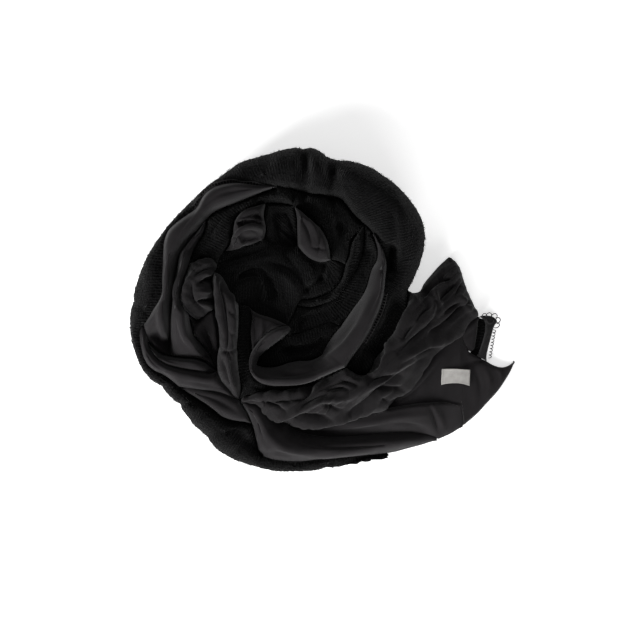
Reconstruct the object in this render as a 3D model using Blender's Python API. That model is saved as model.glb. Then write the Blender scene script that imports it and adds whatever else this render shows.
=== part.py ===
"""A black scarf wound by hand into a loose nest, its labelled end lying out to one side.

The nest is divided in plan by its creases, the lines where one turn of the cloth goes under the
next. Each stretch of cloth that shows is a thin wall between two such lines, so neighbouring
stretches share a crease and keep a seam's gap there. The layers that nothing shows of are one
rounded heap underneath.

Tables are in millimetres. Plan places are measured on the square of table that the nest lies
on: x from its left edge, y from its far edge. Heights are above the table.
"""

import math

import bmesh
import bpy
import numpy as np

MILLIMETRE = 0.001

# The middle of the whole scarf's outline, which becomes the origin.
PLAN_MIDDLE_X = 323.5
PLAN_MIDDLE_Y = 309.5

WALL = 2.0
SEAM_GAP = 1.0
END_GAP = 0.5
END_GAPS = {"boucle_right_turn": 2.0, "crepe_end_fold": 3.0, "loop_trim": 0.1}
NARROWEST = 1.8
MOST_WIDTH_SHARE = 0.2
RIM_SHARE = 0.4
CURVE_STEP = 1.5
STATION_SPACING = 13.0

# The outer turn rests on the hidden heap, with its widest line this far above its foot.
BELLY_RISE = 12.0
FOOT_INSET = 9.0
FOOT_CLEARANCE = 0.6
FOOT_TURN = math.radians(80)
FOOT_STEPS = 2

# Creases: name, height where it starts, height where it ends, places (x, y).
CREASES = {
    "coil_outline": (0, 0, [
        (408, 291), (416, 275), (421, 262), (425, 246), (425, 230), (418, 211), (402, 190),
        (382, 174), (362, 163.5), (348, 161), (336, 159.5), (320, 151), (302, 147), (284, 149),
        (262, 155), (240, 163), (215, 180), (192, 199), (171, 221), (152, 249), (140, 272),
        (134, 290), (130, 312), (130, 330), (133, 347), (139, 364), (150, 380), (168, 395),
        (184, 413), (200, 431), (216, 449), (228, 458), (242, 463), (258, 468), (278, 472),
        (300, 472), (330, 469), (360, 463), (380, 459), (397, 454)]),
    "rim_crescent": (54, 56, [(371, 231), (379, 243), (384.5, 254), (386.5, 266), (385, 279)]),
    "rim_low_turn": (48, 54, [(364, 224.5), (371, 231)]),
    "rim_right_turn": (50, 48, [
        (290, 189.5), (300, 191.5), (315, 194.5), (330, 197), (340, 199), (345, 204),
        (352, 213), (364, 224.5)]),
    "rim_left_turn": (54, 50, [(277, 188), (290, 189.5)]),
    "rim_crepe": (54, 47, [
        (277, 188), (262, 187), (248, 185), (235, 183.5), (222, 185), (213, 188.5), (206, 194),
        (201.5, 200.5), (198, 207), (188, 215), (177, 223), (169, 231), (165, 241),
        (163.5, 255), (162.5, 275), (161, 298), (154, 309), (148, 319), (144, 325)]),
    "rim_ridge": (47, 40, [
        (144, 325), (140, 332), (139.8, 341), (141.5, 350), (144.5, 359), (149, 366),
        (155, 371), (162, 374), (171, 380), (179, 387)]),
    "rim_low_flap": (40, 38, [
        (179, 387), (190, 394.5), (199, 400), (208, 405), (215, 411), (222, 417),
        (232, 420.5), (242, 422), (251.5, 424)]),
    "end_left_high": (46, 38, [(239, 400), (244, 407.5), (248, 415), (251.5, 424)]),
    "end_left_low": (38, 38, [(251.5, 424), (254.5, 434), (256.5, 444), (258, 451), (262, 456)]),
    "end_bottom": (38, 7, [
        (262, 456), (270, 459.5), (283, 462), (300, 463), (320, 461), (335, 459.5),
        (360, 457.5), (380, 456), (397, 454)]),
    "outline_roll": (5, 3, [(397, 454), (410, 450.5), (425, 446.5), (441, 441)]),
    "outline_middle": (3, 3, [(441, 441), (455, 434.5), (466, 427)]),
    "outline_panel": (3, 6, [
        (466, 427), (480, 415), (490, 404), (500, 393), (508, 381.5), (514, 371), (518, 361)]),
    "panel_top": (6, 8, [
        (518, 361), (512, 366), (505, 368), (498, 366.5), (488, 361.5), (479, 357), (471, 352)]),
    "panel_hem_band": (8, 12, [(471, 352), (466, 344), (462, 333.5)]),
    "smocked_hem_band": (12, 4, [(462, 333.5), (466, 328), (472, 322), (481, 316)]),
    "hem_band_edge": (4, 8, [(481, 316), (480, 328), (478, 342), (476, 350), (471, 352)]),
    "outline_smocked_left": (20, 3, [
        (408, 291), (415, 292.5), (421, 291), (425, 284), (433, 274), (441, 265), (451, 256)]),
    "outline_smocked_right": (4, 3, [
        (481, 316), (476, 304), (470, 291), (466, 279), (462, 267), (457, 260), (451, 256)]),
    "smocked_roll": (46, 36, [
        (239, 400), (250, 403.5), (259, 406), (265, 412), (274, 418), (284, 423)]),
    "smocked_middle": (36, 24, [
        (284, 423), (300, 427), (316, 428.5), (330, 427.5), (345, 423.5), (360, 418.5),
        (374, 413.5), (386, 409)]),
    "smocked_panel": (24, 12, [
        (386, 409), (394, 402.5), (402, 394.5), (410, 385.5), (418, 376), (426, 364.5),
        (436, 353.5), (448, 345), (462, 333.5)]),
    "hem_fold": (24, 14, [
        (386, 409), (400, 406), (415, 404), (430, 403), (446, 402.5), (462, 405)]),
    "middle_end": (14, 3, [(462, 405), (464.5, 416), (466, 427)]),
    "valley": (36, 3, [
        (284, 423), (298, 430), (316, 434.5), (345, 436.5), (370, 436), (395, 434.5),
        (415, 434.5), (430, 437), (441, 441)]),
    "smocked_strip": (44, 44, [
        (239, 400), (250, 396), (262, 393), (280, 391), (298, 389.5), (309, 386.5), (319, 381),
        (331, 375), (340, 371), (346, 367)]),
    "smocked_outer_turn": (42, 30, [
        (346, 367), (352, 371), (359, 375), (366, 375), (371, 369.5), (375, 360), (381, 352.5),
        (388, 344.5), (394, 337), (399, 327), (404, 316), (408, 304), (408, 291)]),
    "crescent_outer_turn": (50, 44, [
        (385, 279), (384, 290), (382, 300), (379, 310), (374, 321), (369.5, 331), (363, 342),
        (356, 352), (350, 360), (346, 367)]),
    "crescent_strip": (44, 46, [
        (346, 367), (335, 371.5), (325, 376), (315, 380.5), (302, 384.5), (285, 386),
        (270, 385.5), (261, 383), (254, 377.5), (249.5, 369), (249, 359), (252.5, 349)]),
    "crescent_petal": (50, 46, [(252.5, 349), (260, 339), (268, 332), (278, 327), (288, 325)]),
    "crescent_tip": (46, 42, [(288, 325), (291, 329), (288, 334)]),
    "hook_low_fold": (42, 36, [
        (288, 334), (282, 339), (274, 345), (265, 351.5), (259, 358), (257, 365)]),
    "crescent_low_fold": (36, 36, [
        (257, 365), (264, 367), (277, 366.5), (288, 363), (298, 361), (312, 360), (322, 355)]),
    "crescent_right_fold": (36, 36, [(322, 355), (327, 345), (333, 336), (340, 327)]),
    "crescent_low_turn": (36, 54, [
        (340, 327), (347, 317.5), (354, 307.5), (361, 298), (366, 289), (369, 279),
        (372, 269), (376.5, 261), (377.5, 251), (375, 241), (371, 231)]),
    "low_turn_fold": (42, 36, [
        (288, 334), (297, 334), (308, 330.5), (320, 326), (332, 323), (340, 327)]),
    "left_turn_crepe": (54, 48, [
        (277, 188), (264, 192.5), (250, 198.5), (238, 203), (226, 207.5), (214, 213),
        (207, 219)]),
    "crepe_fold": (48, 40, [
        (207, 219), (200, 228), (193, 236), (185, 246), (179, 256), (177.5, 264), (175, 278),
        (173, 294), (171.5, 308), (170.5, 320), (170.5, 333), (170, 345), (170, 356)]),
    "crepe_ridge": (47, 46, [(144, 325), (146, 333), (147.5, 340)]),
    "crepe_return": (46, 40, [(147.5, 340), (153, 347), (160, 353), (170, 356)]),
    "fold_return": (40, 42, [(170, 356), (183, 357.5), (196, 358.5), (206, 362), (217, 371)]),
    "return_ridge": (46, 42, [
        (147.5, 340), (152, 351), (158, 359), (166, 364.5), (180, 368.5), (196, 371),
        (208, 372.5), (217, 371)]),
    "ridge_turn": (42, 46, [(217, 371), (221, 380), (227, 388), (233, 395), (239, 400)]),
    "ridge_low_flap": (40, 46, [
        (179, 387), (190, 388.5), (202, 390.5), (214, 391.5), (226, 394), (239, 400)]),
    "left_turn_fold": (48, 54, [
        (207, 219), (203, 235), (197, 244), (192.5, 254), (190, 264)]),
    "fold_bun": (54, 50, [(190, 264), (186, 276), (183, 286), (182, 296), (184, 305),
                          (189.5, 314)]),
    "fold_tuck": (50, 42, [
        (189.5, 314), (191, 325), (194, 335), (201, 344), (208, 353), (213, 362), (217, 371)]),
    "left_turn_bun": (54, 54, [(190, 264), (197, 261), (206, 258)]),
    "bun_left_turn": (50, 48, [(206, 258), (213, 258.5), (218, 263)]),
    "centre_bun": (48, 48, [(218, 263), (217.5, 268), (215, 272)]),
    "bun_smocked_turn": (58, 54, [
        (215, 272), (212.5, 280), (213, 290), (214, 300), (215, 309)]),
    "bun_tuck_left": (50, 48, [(189.5, 314), (194, 318), (199, 320)]),
    "bun_tuck_right": (48, 54, [(199, 320), (207, 314), (215, 309)]),
    "smocked_turn_tuck": (54, 42, [
        (215, 309), (217.5, 320), (219.5, 335), (219, 347), (217, 358), (217, 371)]),
    "smocked_turn_centre": (48, 46, [
        (215, 272), (221, 275), (226, 282), (230, 291), (235, 299), (239, 304)]),
    "smocked_turn_strip": (48, 46, [
        (239, 304), (239.5, 315), (239, 330), (238.5, 345), (238.5, 360), (240, 375),
        (241.5, 388), (239, 400)]),
    "centre_strip": (46, 46, [(239, 304), (245, 307), (251, 309)]),
    "petal_strip": (46, 46, [
        (251, 309), (251.5, 318), (250.5, 330), (251, 340), (252.5, 349)]),
    "centre_petal": (46, 42, [(251, 309), (260, 314), (270, 317), (280, 321), (288, 325)]),
    "left_turn_right_turn": (50, 44, [(290, 189.5), (292, 197), (294, 206)]),
    "left_turn_pocket": (42, 44, [(294, 206), (280, 203.5), (266, 203.5)]),
    "left_turn_ruffle": (48, 50, [
        (266, 203.5), (252, 207.5), (241, 214), (234.5, 223), (232, 235), (230, 245),
        (225, 251.5)]),
    "left_turn_centre": (46, 48, [(225, 251.5), (221, 257), (218, 263)]),
    "ruffle_centre": (44, 40, [
        (225, 251.5), (234, 250.5), (243, 247.5), (254, 244.5), (264, 240)]),
    "ruffle_pocket": (38, 44, [(264, 240), (266, 228), (264, 216), (266, 203.5)]),
    "pocket_petal": (40, 36, [(294, 206), (296.5, 216), (297, 230), (297.5, 246)]),
    "pocket_centre": (36, 38, [(297.5, 246), (285, 246.5), (275, 243.5), (264, 240)]),
    "bright_petal_centre": (36, 38, [
        (297.5, 246), (303, 253), (311, 259.5), (320, 262.5), (331, 260)]),
    "bright_petal_turn": (44, 42, [
        (294, 206), (302, 211.5), (311, 220.5), (320, 227.5), (326.5, 238), (330, 250),
        (331, 260)]),
    "right_turn_pleat": (42, 38, [(331, 260), (338, 262), (345, 264)]),
    "right_turn_fold": (38, 48, [
        (345, 264), (348, 256), (349.5, 246), (353, 238), (359, 231), (364, 224.5)]),
    "fold_low_turn": (48, 38, [
        (364, 224.5), (364, 236), (363, 250), (359.5, 264), (353, 277), (346, 288),
        (338, 297), (326, 303), (313, 307), (297, 306)]),
    "fold_pleat": (38, 38, [
        (345, 264), (343.5, 273), (340, 282), (334, 289), (325, 294.5), (312, 299),
        (300, 300)]),
    "centre_fold": (38, 38, [(300, 300), (297, 306)]),
    "centre_low_turn": (36, 42, [(297, 306), (293.5, 315), (288, 325)]),
    "trim_inner": (4, 6, [
        (482, 316.2), (487, 322), (487.5, 330), (485, 341), (482, 350), (479.7, 357)]),
    "trim_outer": (4, 6, [
        (482, 316.2), (490, 315.4), (497, 317.5), (500, 321), (497, 326.5), (494, 337),
        (490.5, 350), (488.3, 361.3)]),
}

# The hidden heap: its outline (x, y), and its height at a few places (x, y, height).
HEAP_OUTLINE = [
    (407, 290), (410, 277), (416, 262), (419, 246), (419, 230), (412, 213), (397, 195),
    (379, 180), (360, 169), (335, 165), (318, 157), (302, 153), (284, 155), (263, 161),
    (243, 169), (219, 185), (197, 203), (176, 224), (158, 251), (146, 274), (140, 291),
    (136, 312), (136, 330), (139, 345), (145, 361), (155, 376), (172, 391), (189, 409),
    (205, 427), (220, 444), (231, 452), (243, 457), (259, 462), (279, 466), (300, 466),
    (329, 463), (358, 457), (376, 452), (395, 446), (420, 438), (446, 427), (466, 410),
    (482, 392), (488, 378), (472, 368), (462, 350), (458, 325), (460, 300), (454, 279),
    (443, 283.5), (431, 292), (420, 299), (412, 298)]
HEAP_HEIGHTS = [
    (278, 310, 27), (150, 310, 24), (200, 200, 24), (302, 165, 24), (370, 190, 24),
    (410, 235, 24), (200, 420, 24), (240, 452, 24), (300, 455, 22), (345, 455, 14),
    (390, 448, 5), (380, 395, 16), (405, 310, 22), (425, 310, 12), (430, 350, 9),
    (452, 280, 5), (465, 330, 5), (440, 430, 4), (470, 395, 5), (490, 380, 4)]
HEAP_MIDDLE = (372, 350)
# Its edge, from the table up: how far in from the outline, share of the height there.
HEAP_EDGE = [
    (3.5, 0.0), (1.2, 0.08), (0.2, 0.24), (1.2, 0.41), (3.2, 0.5), (1.4, 0.6), (0.8, 0.74),
    (2.6, 0.9), (7.0, 1.0)]
HEAP_TOP_SCALES = [0.78, 0.52, 0.26]
HEAP_STATIONS = 48

# Troughs and ridges pressed into the wall: start x, y, end x, y, half width, height.
RELIEF = [
    (305, 152, 306, 190, 5.0, -6.0),
    (332, 166, 333, 196, 4.5, -5.0),
    (391, 248, 389, 272, 6.0, -9.0),
    (395, 205, 405, 262, 3.5, 2.0),
    (266, 282, 271, 295, 8.0, -22.0),
    (242, 279, 262, 275, 4.0, -5.0),
    (286, 232, 290, 244, 7.0, -8.0),
    (338, 226, 341, 229, 4.0, -6.0),
    (318, 430, 420, 433, 6.0, -3.0),
    (324, 266, 321, 278, 3.5, -4.0),
    (321, 277, 311, 285, 4.0, -3.0),
]

# Smocking: how long and wide one pucker is, and how far it stands up.
PUCKER_LENGTH = 26.0
PUCKER_WIDTH = 13.0
PUCKER_RISE = 2.2
PUCKER_LEAN = math.radians(-38)

# Cloths: colour (linear), roughness.
CLOTHS = {
    "boucle": ((0.006, 0.006, 0.006), 0.95),
    "crepe": ((0.016, 0.015, 0.016), 0.8),
    "smocked crepe": ((0.015, 0.014, 0.015), 0.8),
    "trim": ((0.010, 0.010, 0.010), 0.9),
    "woven label": ((0.80, 0.78, 0.74), 0.7),
    "hidden layers": ((0.008, 0.008, 0.008), 0.95),
}

# Stretches: cloth, creases on the left and on the right (a minus runs one backwards), how wide
# the cloth takes to roll down into each, and sections along the stretch. A section's columns
# are left x, y, right x, y, and the cloth's height at its left, middle and right.
STRETCHES = {
    "boucle_outer_turn": (
        "boucle", ["coil_outline"],
        ["-rim_crescent", "-rim_low_turn", "-rim_right_turn", "-rim_left_turn", "rim_crepe",
         "rim_ridge", "rim_low_flap", "end_left_low", "end_bottom"],
        (22, 7), [
            (408, 291, 385, 279, 60, 62, 60),
            (425, 246, 386, 262, 64, 68, 64),
            (424, 222, 371, 231, 66, 73, 68),
            (402, 190, 352, 213, 68, 76, 68),
            (362, 163.5, 335, 198, 68, 76, 68),
            (320, 151, 310, 193.5, 68, 76, 66),
            (284, 149, 290, 189.5, 68, 76, 66),
            (250, 159, 262, 187, 66, 70, 66),
            (215, 180, 222, 185, 60, 62, 60),
            (203, 190, 206, 194, 58, 60, 58),
            (192, 199, 198, 207, 58, 60, 58),
            (171, 221, 177, 223, 58, 60, 60),
            (152, 249, 164, 250, 58, 62, 62),
            (134, 290, 161.5, 290, 60, 64, 62),
            (130, 312, 152, 312, 58, 62, 58),
            (130, 330, 140, 332, 54, 56, 52),
            (139, 364, 146, 362, 48, 49, 46),
            (150, 380, 158, 372, 48, 50, 46),
            (168, 395, 176, 384, 48, 52, 46),
            (200, 431, 213, 409, 50, 54, 44),
            (228, 458, 251.5, 424, 50, 53, 42),
            (242, 463, 256, 441, 48, 50, 42),
            (262, 469, 265, 458, 44, 44, 41),
            (300, 472, 300, 463, 42, 42, 40),
            (330, 469, 331, 460, 34, 34, 33),
            (360, 463, 360, 457.5, 22, 22, 22),
            (397, 454, 397, 454, 9, 9, 9)]),
    "boucle_right_turn": (
        "boucle", ["smocked_outer_turn"], ["-crescent_outer_turn"], (13, 5), [
            (346, 367, 346, 367, 50, 50, 50),
            (366, 375, 357, 351, 46, 50, 54),
            (375, 360, 363, 342, 44, 50, 56),
            (388, 346, 370, 330, 42, 50, 57),
            (399, 327, 379, 310, 42, 51, 58),
            (408, 304, 384, 290, 44, 55, 59),
            (408, 291, 385, 279, 56, 62, 60)]),
    "crepe_left_turn": (
        "crepe", ["rim_crepe", "crepe_ridge", "crepe_return"],
        ["left_turn_crepe", "crepe_fold"], (5, 7), [
            (277, 188, 277, 188, 60, 60, 60),
            (248, 185, 250, 198.5, 70, 74, 70),
            (222, 185, 226, 207.5, 72, 80, 74),
            (206, 194, 217, 211.5, 74, 80, 74),
            (198, 207, 209, 217, 74, 80, 74),
            (188, 215, 200, 228, 74, 81, 76),
            (169, 231, 185, 246, 74, 83, 78),
            (163.5, 255, 179, 256, 74, 84, 80),
            (162.5, 275, 175, 278, 74, 84, 80),
            (161, 298, 172.5, 298, 72, 82, 80),
            (148, 319, 170.5, 320, 64, 74, 76),
            (146, 333, 170.5, 333, 58, 62, 60),
            (153, 347, 170, 345, 50, 52, 50),
            (170, 356, 170, 356, 42, 42, 42)]),
    "crepe_left_fold": (
        "crepe", ["crepe_fold", "fold_return"], ["left_turn_fold", "fold_bun", "fold_tuck"],
        (6, 6), [
            (207, 219, 207, 219, 56, 56, 56),
            (193, 236, 202, 236, 64, 70, 68),
            (179, 256, 192.5, 254, 72, 78, 74),
            (175, 278, 186, 276, 76, 84, 80),
            (173, 294, 182, 296, 78, 86, 82),
            (171.5, 308, 185, 307, 78, 86, 80),
            (170.5, 320, 190.5, 322, 74, 82, 74),
            (170.5, 333, 194, 335, 64, 76, 70),
            (170, 345, 201, 344, 52, 68, 66),
            (183, 357.5, 208, 353, 46, 58, 60),
            (206, 362, 213, 362, 48, 52, 52),
            (217, 371, 217, 371, 46, 46, 46)]),
    "crepe_return": (
        "crepe", ["crepe_return", "fold_return"], ["return_ridge"], (3, 3), [
            (147.5, 340, 147.5, 340, 48, 48, 48),
            (160, 353, 158, 359, 56, 60, 58),
            (183, 357.5, 181, 368.5, 60, 66, 62),
            (200, 359.5, 200, 371.5, 60, 66, 62),
            (217, 371, 217, 371, 48, 48, 48)]),
    "crepe_bright_ridge": (
        "crepe", ["crepe_ridge", "return_ridge", "ridge_turn"], ["rim_ridge", "ridge_low_flap"],
        (4, 4), [
            (144, 325, 144, 325, 50, 50, 50),
            (147.5, 340, 139.8, 341, 54, 58, 52),
            (152, 351, 143, 355, 54, 60, 54),
            (166, 364.5, 157, 372, 56, 64, 56),
            (180, 368.5, 176, 384, 58, 66, 56),
            (208, 372.5, 205, 391, 58, 66, 58),
            (224, 384, 222, 393, 56, 60, 56),
            (239, 400, 239, 400, 50, 50, 50)]),
    "crepe_low_flap": (
        "crepe", ["ridge_low_flap", "end_left_high"], ["rim_low_flap"], (3, 4), [
            (179, 387, 179, 387, 42, 42, 42),
            (202, 390.5, 200, 400.5, 54, 57, 54),
            (222, 393, 218, 414, 56, 60, 54),
            (239, 400, 232, 420.5, 54, 58, 50),
            (248, 415, 244, 422.5, 46, 48, 44),
            (251.5, 424, 251.5, 424, 40, 40, 40)]),
    "crepe_edge_roll": (
        "crepe", ["smocked_roll", "valley"],
        ["end_left_high", "end_left_low", "end_bottom", "outline_roll"], (8, 9), [
            (239, 400, 239, 400, 48, 48, 48),
            (250, 403.5, 247, 413, 54, 58, 54),
            (262, 409, 254, 432, 52, 60, 52),
            (274, 418, 258, 451, 46, 61, 49),
            (290, 426.5, 272, 460, 42, 60, 47),
            (316, 434.5, 310, 462, 38, 57, 44),
            (345, 436.5, 345, 458.5, 33, 49, 37),
            (370, 436, 375, 456.3, 28, 38, 26),
            (400, 434.5, 405, 452, 22, 27, 17),
            (425, 435.7, 425, 446.5, 12, 13, 10),
            (441, 441, 441, 441, 5, 5, 5)]),
    "crepe_end_fold": (
        "crepe", ["smocked_middle", "hem_fold", "middle_end"], ["valley", "outline_middle"],
        (4, 8), [
            (284, 423, 284, 423, 38, 38, 38),
            (316, 428.5, 316, 434.5, 40, 38, 34),
            (345, 423.5, 345, 436.5, 42, 40, 32),
            (374, 413.5, 376, 436, 38, 37, 28),
            (400, 406, 404, 434.5, 34, 32, 22),
            (430, 403, 430, 437, 28, 24, 12),
            (450, 402.7, 441, 441, 20, 15, 8),
            (462, 405, 454, 435, 16, 11, 6),
            (466, 427, 466, 427, 4, 4, 4)]),
    "crepe_end_panel": (
        "crepe", ["smocked_panel", "-panel_hem_band", "-panel_top"],
        ["hem_fold", "middle_end", "outline_panel"], (4, 4), [
            (386, 409, 386, 409, 26, 26, 26),
            (402, 394.5, 404, 405, 27, 27, 26),
            (418, 376, 420, 403.5, 24, 24, 22),
            (436, 353.5, 438, 402.7, 20, 21, 18),
            (462, 333.5, 462, 405, 15, 17, 14),
            (471, 352, 466, 427, 12, 14, 10),
            (490, 363, 482, 413, 10, 12, 9),
            (500, 367, 494, 400, 9.5, 11, 8),
            (508, 367.5, 506, 384, 9, 10, 8),
            (518, 361, 518, 361, 9, 9, 9)]),
    "crepe_hem_band": (
        "crepe", ["-smocked_hem_band", "-panel_hem_band"], ["hem_band_edge"], (3, 3), [
            (481, 316, 481, 316, 6, 6, 6),
            (470, 324, 480.3, 325, 12, 13, 11),
            (462, 333.5, 479.5, 333, 14, 14, 10),
            (466, 344, 478, 342, 13, 12, 9),
            (471, 352, 471, 352, 9, 9, 9)]),
    "loop_trim": (
        "trim", ["trim_inner"], ["trim_outer"], (2, 2), [
            (482, 316.2, 482, 316.2, 8, 8, 8),
            (487, 322, 498, 319, 9, 10, 9),
            (487.5, 330, 496, 330, 10, 11, 10),
            (485, 341, 493, 341, 10, 11, 10),
            (479.7, 357, 488.3, 361.3, 9, 10, 9)]),
    "smocked_end": (
        "smocked crepe", ["smocked_strip", "smocked_outer_turn", "outline_smocked_left"],
        ["smocked_roll", "smocked_middle", "smocked_panel", "smocked_hem_band",
         "outline_smocked_right"],
        (7, 6), [
            (239, 400, 239, 400, 50, 50, 50),
            (262, 393, 259, 406, 62, 66, 58),
            (280, 391, 277, 420, 64, 69, 54),
            (298, 389.5, 300, 427, 65, 70, 52),
            (319, 381, 322, 428.5, 66, 69, 48),
            (346, 367, 350, 422, 66, 68, 44),
            (366, 375, 374, 413.5, 63, 64, 42),
            (375, 360, 394, 402.5, 61, 62, 38),
            (388, 346, 410, 385.5, 58, 60, 34),
            (399, 327, 426, 364.5, 54, 56, 28),
            (408, 304, 448, 345, 44, 48, 22),
            (421, 291, 464, 331, 28, 38, 20),
            (433, 274, 478, 318, 20, 30, 15),
            (441, 265, 470, 291, 16, 24, 13),
            (451, 256, 451, 256, 8, 8, 8)]),
    "smocked_turn": (
        "smocked crepe",
        ["bun_smocked_turn", "smocked_turn_tuck", "ridge_turn"],
        ["smocked_turn_centre", "smocked_turn_strip"], (5, 5), [
            (215, 272, 215, 272, 64, 64, 64),
            (212.5, 280, 226, 282, 78, 82, 76),
            (214, 300, 236, 300.5, 82, 87, 80),
            (217.5, 320, 239.3, 320, 82, 89, 82),
            (219.5, 335, 239, 335, 80, 88, 82),
            (217, 358, 238.5, 358, 76, 84, 78),
            (221, 380, 240.5, 379, 66, 74, 68),
            (233, 395, 241, 392, 54, 58, 54),
            (239, 400, 239, 400, 48, 48, 48)]),
    "seam_strip": (
        "boucle", ["smocked_turn_strip", "smocked_strip"],
        ["centre_strip", "petal_strip", "-crescent_strip"], (3, 3), [
            (239, 304, 239, 304, 51, 51, 51),
            (239.5, 315, 251.3, 315, 55, 55, 53),
            (239, 330, 250.5, 330, 55, 55, 53),
            (238.5, 345, 251.5, 345, 55, 54, 52),
            (238.5, 360, 249, 359, 54, 54, 52),
            (240, 375, 250, 371, 53, 53, 51),
            (241, 396, 255.5, 379, 52, 53, 51),
            (262, 393, 262, 383.5, 53, 53, 51),
            (280, 391, 280, 386, 53, 53, 52),
            (298, 389.5, 300, 385, 53, 53, 52),
            (319, 381, 317, 379.7, 53, 53, 52),
            (331, 375, 330, 373.7, 54, 54, 54),
            (346, 367, 346, 367, 50, 50, 50)]),
    "crepe_crescent": (
        "crepe", ["rim_crescent", "crescent_outer_turn", "crescent_strip", "crescent_petal"],
        ["-crescent_low_turn", "-crescent_right_fold", "-crescent_low_fold", "-hook_low_fold",
         "-crescent_tip"], (5, 9), [
            (371, 231, 371, 231, 62, 62, 62),
            (384.5, 254, 377.5, 251, 70, 70, 66),
            (386.5, 266, 376.5, 261, 76, 74, 66),
            (384, 290, 366, 289, 82, 76, 62),
            (379, 310, 357, 303, 84, 76, 58),
            (369.5, 331, 343, 323, 84, 74, 54),
            (356, 352, 330, 341, 83, 72, 50),
            (335, 371.5, 321, 355.5, 82, 73, 52),
            (302, 384.5, 298, 361, 80, 73, 56),
            (270, 385.5, 270, 367.3, 78, 71, 56),
            (254, 377.5, 258.5, 366, 76, 70, 56),
            (249.5, 364, 257, 363, 74, 70, 56),
            (252.5, 349, 262.5, 354, 72, 70, 58),
            (268, 332, 276, 343.5, 72, 70, 60),
            (280, 326.5, 287, 335, 68, 68, 60),
            (288, 325, 288, 325, 52, 52, 52)]),
    "crepe_small_petal": (
        "crepe", ["centre_petal"], ["petal_strip", "crescent_petal"], (4, 4), [
            (251, 309, 251, 309, 56, 56, 56),
            (257, 312.5, 251, 322, 62, 64, 64),
            (262, 314.7, 251, 340, 62, 66, 66),
            (270, 317, 258, 341.5, 62, 66, 64),
            (279, 320.6, 270, 331, 58, 62, 58),
            (288, 325, 288, 325, 50, 50, 50)]),
    "boucle_centre": (
        "boucle",
        ["-left_turn_centre", "ruffle_centre", "-pocket_centre", "bright_petal_centre"],
        ["centre_bun", "smocked_turn_centre", "centre_strip", "centre_petal",
         "-centre_low_turn", "-centre_fold", "-fold_pleat"], (5, 5), [
            (218, 263, 218, 263, 52, 52, 52),
            (225, 251.5, 221, 275, 50, 52, 52),
            (234, 250.5, 230, 291, 50, 52, 52),
            (243, 247.5, 239, 304, 50, 53, 51),
            (254, 244.5, 251, 309, 50, 53, 50),
            (264, 240, 270, 317, 48, 53, 49),
            (280, 245.3, 287, 324.5, 48, 52, 47),
            (297.5, 246, 300, 300, 48, 51, 43),
            (305, 255, 312, 299, 47, 50, 42),
            (315, 261.3, 325, 294.5, 46, 47, 42),
            (322, 262.6, 334, 289, 45, 46, 42),
            (327, 261.6, 342, 278, 44, 45, 42),
            (331, 260, 345, 264, 46, 45, 42)]),
    "crepe_bright_petal": (
        "crepe", ["pocket_petal", "bright_petal_centre"], ["bright_petal_turn"], (4, 4), [
            (294, 206, 294, 206, 52, 52, 52),
            (296.5, 216, 302, 211.5, 66, 66, 64),
            (297, 230, 315, 224, 74, 74, 70),
            (298.5, 247.5, 326.5, 238, 74, 76, 70),
            (311, 259.5, 330, 250, 68, 72, 66),
            (331, 260, 331, 260, 50, 50, 50)]),
    "crepe_ruffle": (
        "crepe", ["left_turn_ruffle"], ["-ruffle_pocket", "-ruffle_centre"], (4, 5), [
            (266, 203.5, 266, 203.5, 54, 54, 54),
            (252, 207.5, 264.5, 216, 64, 68, 62),
            (241, 214, 266, 228, 68, 74, 60),
            (234.5, 223, 264, 240, 70, 74, 54),
            (232, 235, 249, 246, 68, 72, 58),
            (230, 245, 236, 250, 60, 60, 56),
            (225, 251.5, 225, 251.5, 54, 54, 54)]),
    "boucle_pocket": (
        "boucle", ["left_turn_pocket", "-ruffle_pocket"], ["pocket_petal", "pocket_centre"],
        (5, 5), [
            (294, 206, 294, 206, 48, 48, 48),
            (280, 203.5, 296.5, 216, 50, 47, 44),
            (266, 203.5, 297, 232, 50, 44, 41),
            (264.5, 216, 292, 246.3, 48, 43, 41),
            (266, 228, 275, 243.5, 45, 42, 42),
            (264, 240, 264, 240, 42, 42, 42)]),
    "boucle_left_turn": (
        "boucle", ["-rim_left_turn", "left_turn_crepe", "left_turn_fold"],
        ["left_turn_right_turn", "left_turn_pocket", "left_turn_ruffle", "left_turn_centre",
         "-bun_left_turn", "-left_turn_bun"], (6, 6), [
            (290, 189.5, 290, 189.5, 54, 54, 54),
            (277, 188, 282, 203.7, 62, 63, 58),
            (250, 198.5, 255, 206.5, 60, 62, 60),
            (226, 207.5, 237, 219, 60, 64, 62),
            (207, 219, 232, 235, 60, 66, 64),
            (203, 235, 229, 247, 62, 66, 64),
            (197, 244, 221, 257, 62, 65, 62),
            (193.5, 251.5, 213, 258.5, 62, 63, 60),
            (192.2, 255, 206, 258, 60, 61, 60),
            (190.8, 260, 198, 260.7, 59, 60, 59),
            (190, 264, 190, 264, 58, 58, 58)]),
    "smocked_bun": (
        "smocked crepe", ["-left_turn_bun", "fold_bun", "bun_tuck_left"],
        ["bun_left_turn", "centre_bun", "bun_smocked_turn", "-bun_tuck_right"], (5, 5), [
            (206, 258, 206, 258, 62, 62, 62),
            (190, 264, 217, 262, 70, 74, 66),
            (186, 276, 213.5, 277, 76, 80, 74),
            (182, 292, 213, 290, 78, 82, 76),
            (184, 305, 214.7, 306, 76, 80, 72),
            (189.5, 314, 215, 309, 66, 70, 64),
            (199, 320, 199, 320, 52, 52, 52)]),
    "crepe_tuck": (
        "crepe", ["fold_tuck"], ["bun_tuck_left", "bun_tuck_right", "smocked_turn_tuck"],
        (5, 5), [
            (189.5, 314, 189.5, 314, 52, 52, 52),
            (190.6, 322, 199, 320, 52, 52, 51),
            (192, 330, 201, 318.6, 53, 54, 53),
            (193.5, 334, 207, 314.3, 54, 56, 56),
            (195.5, 337, 215, 309, 53, 56, 56),
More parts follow.
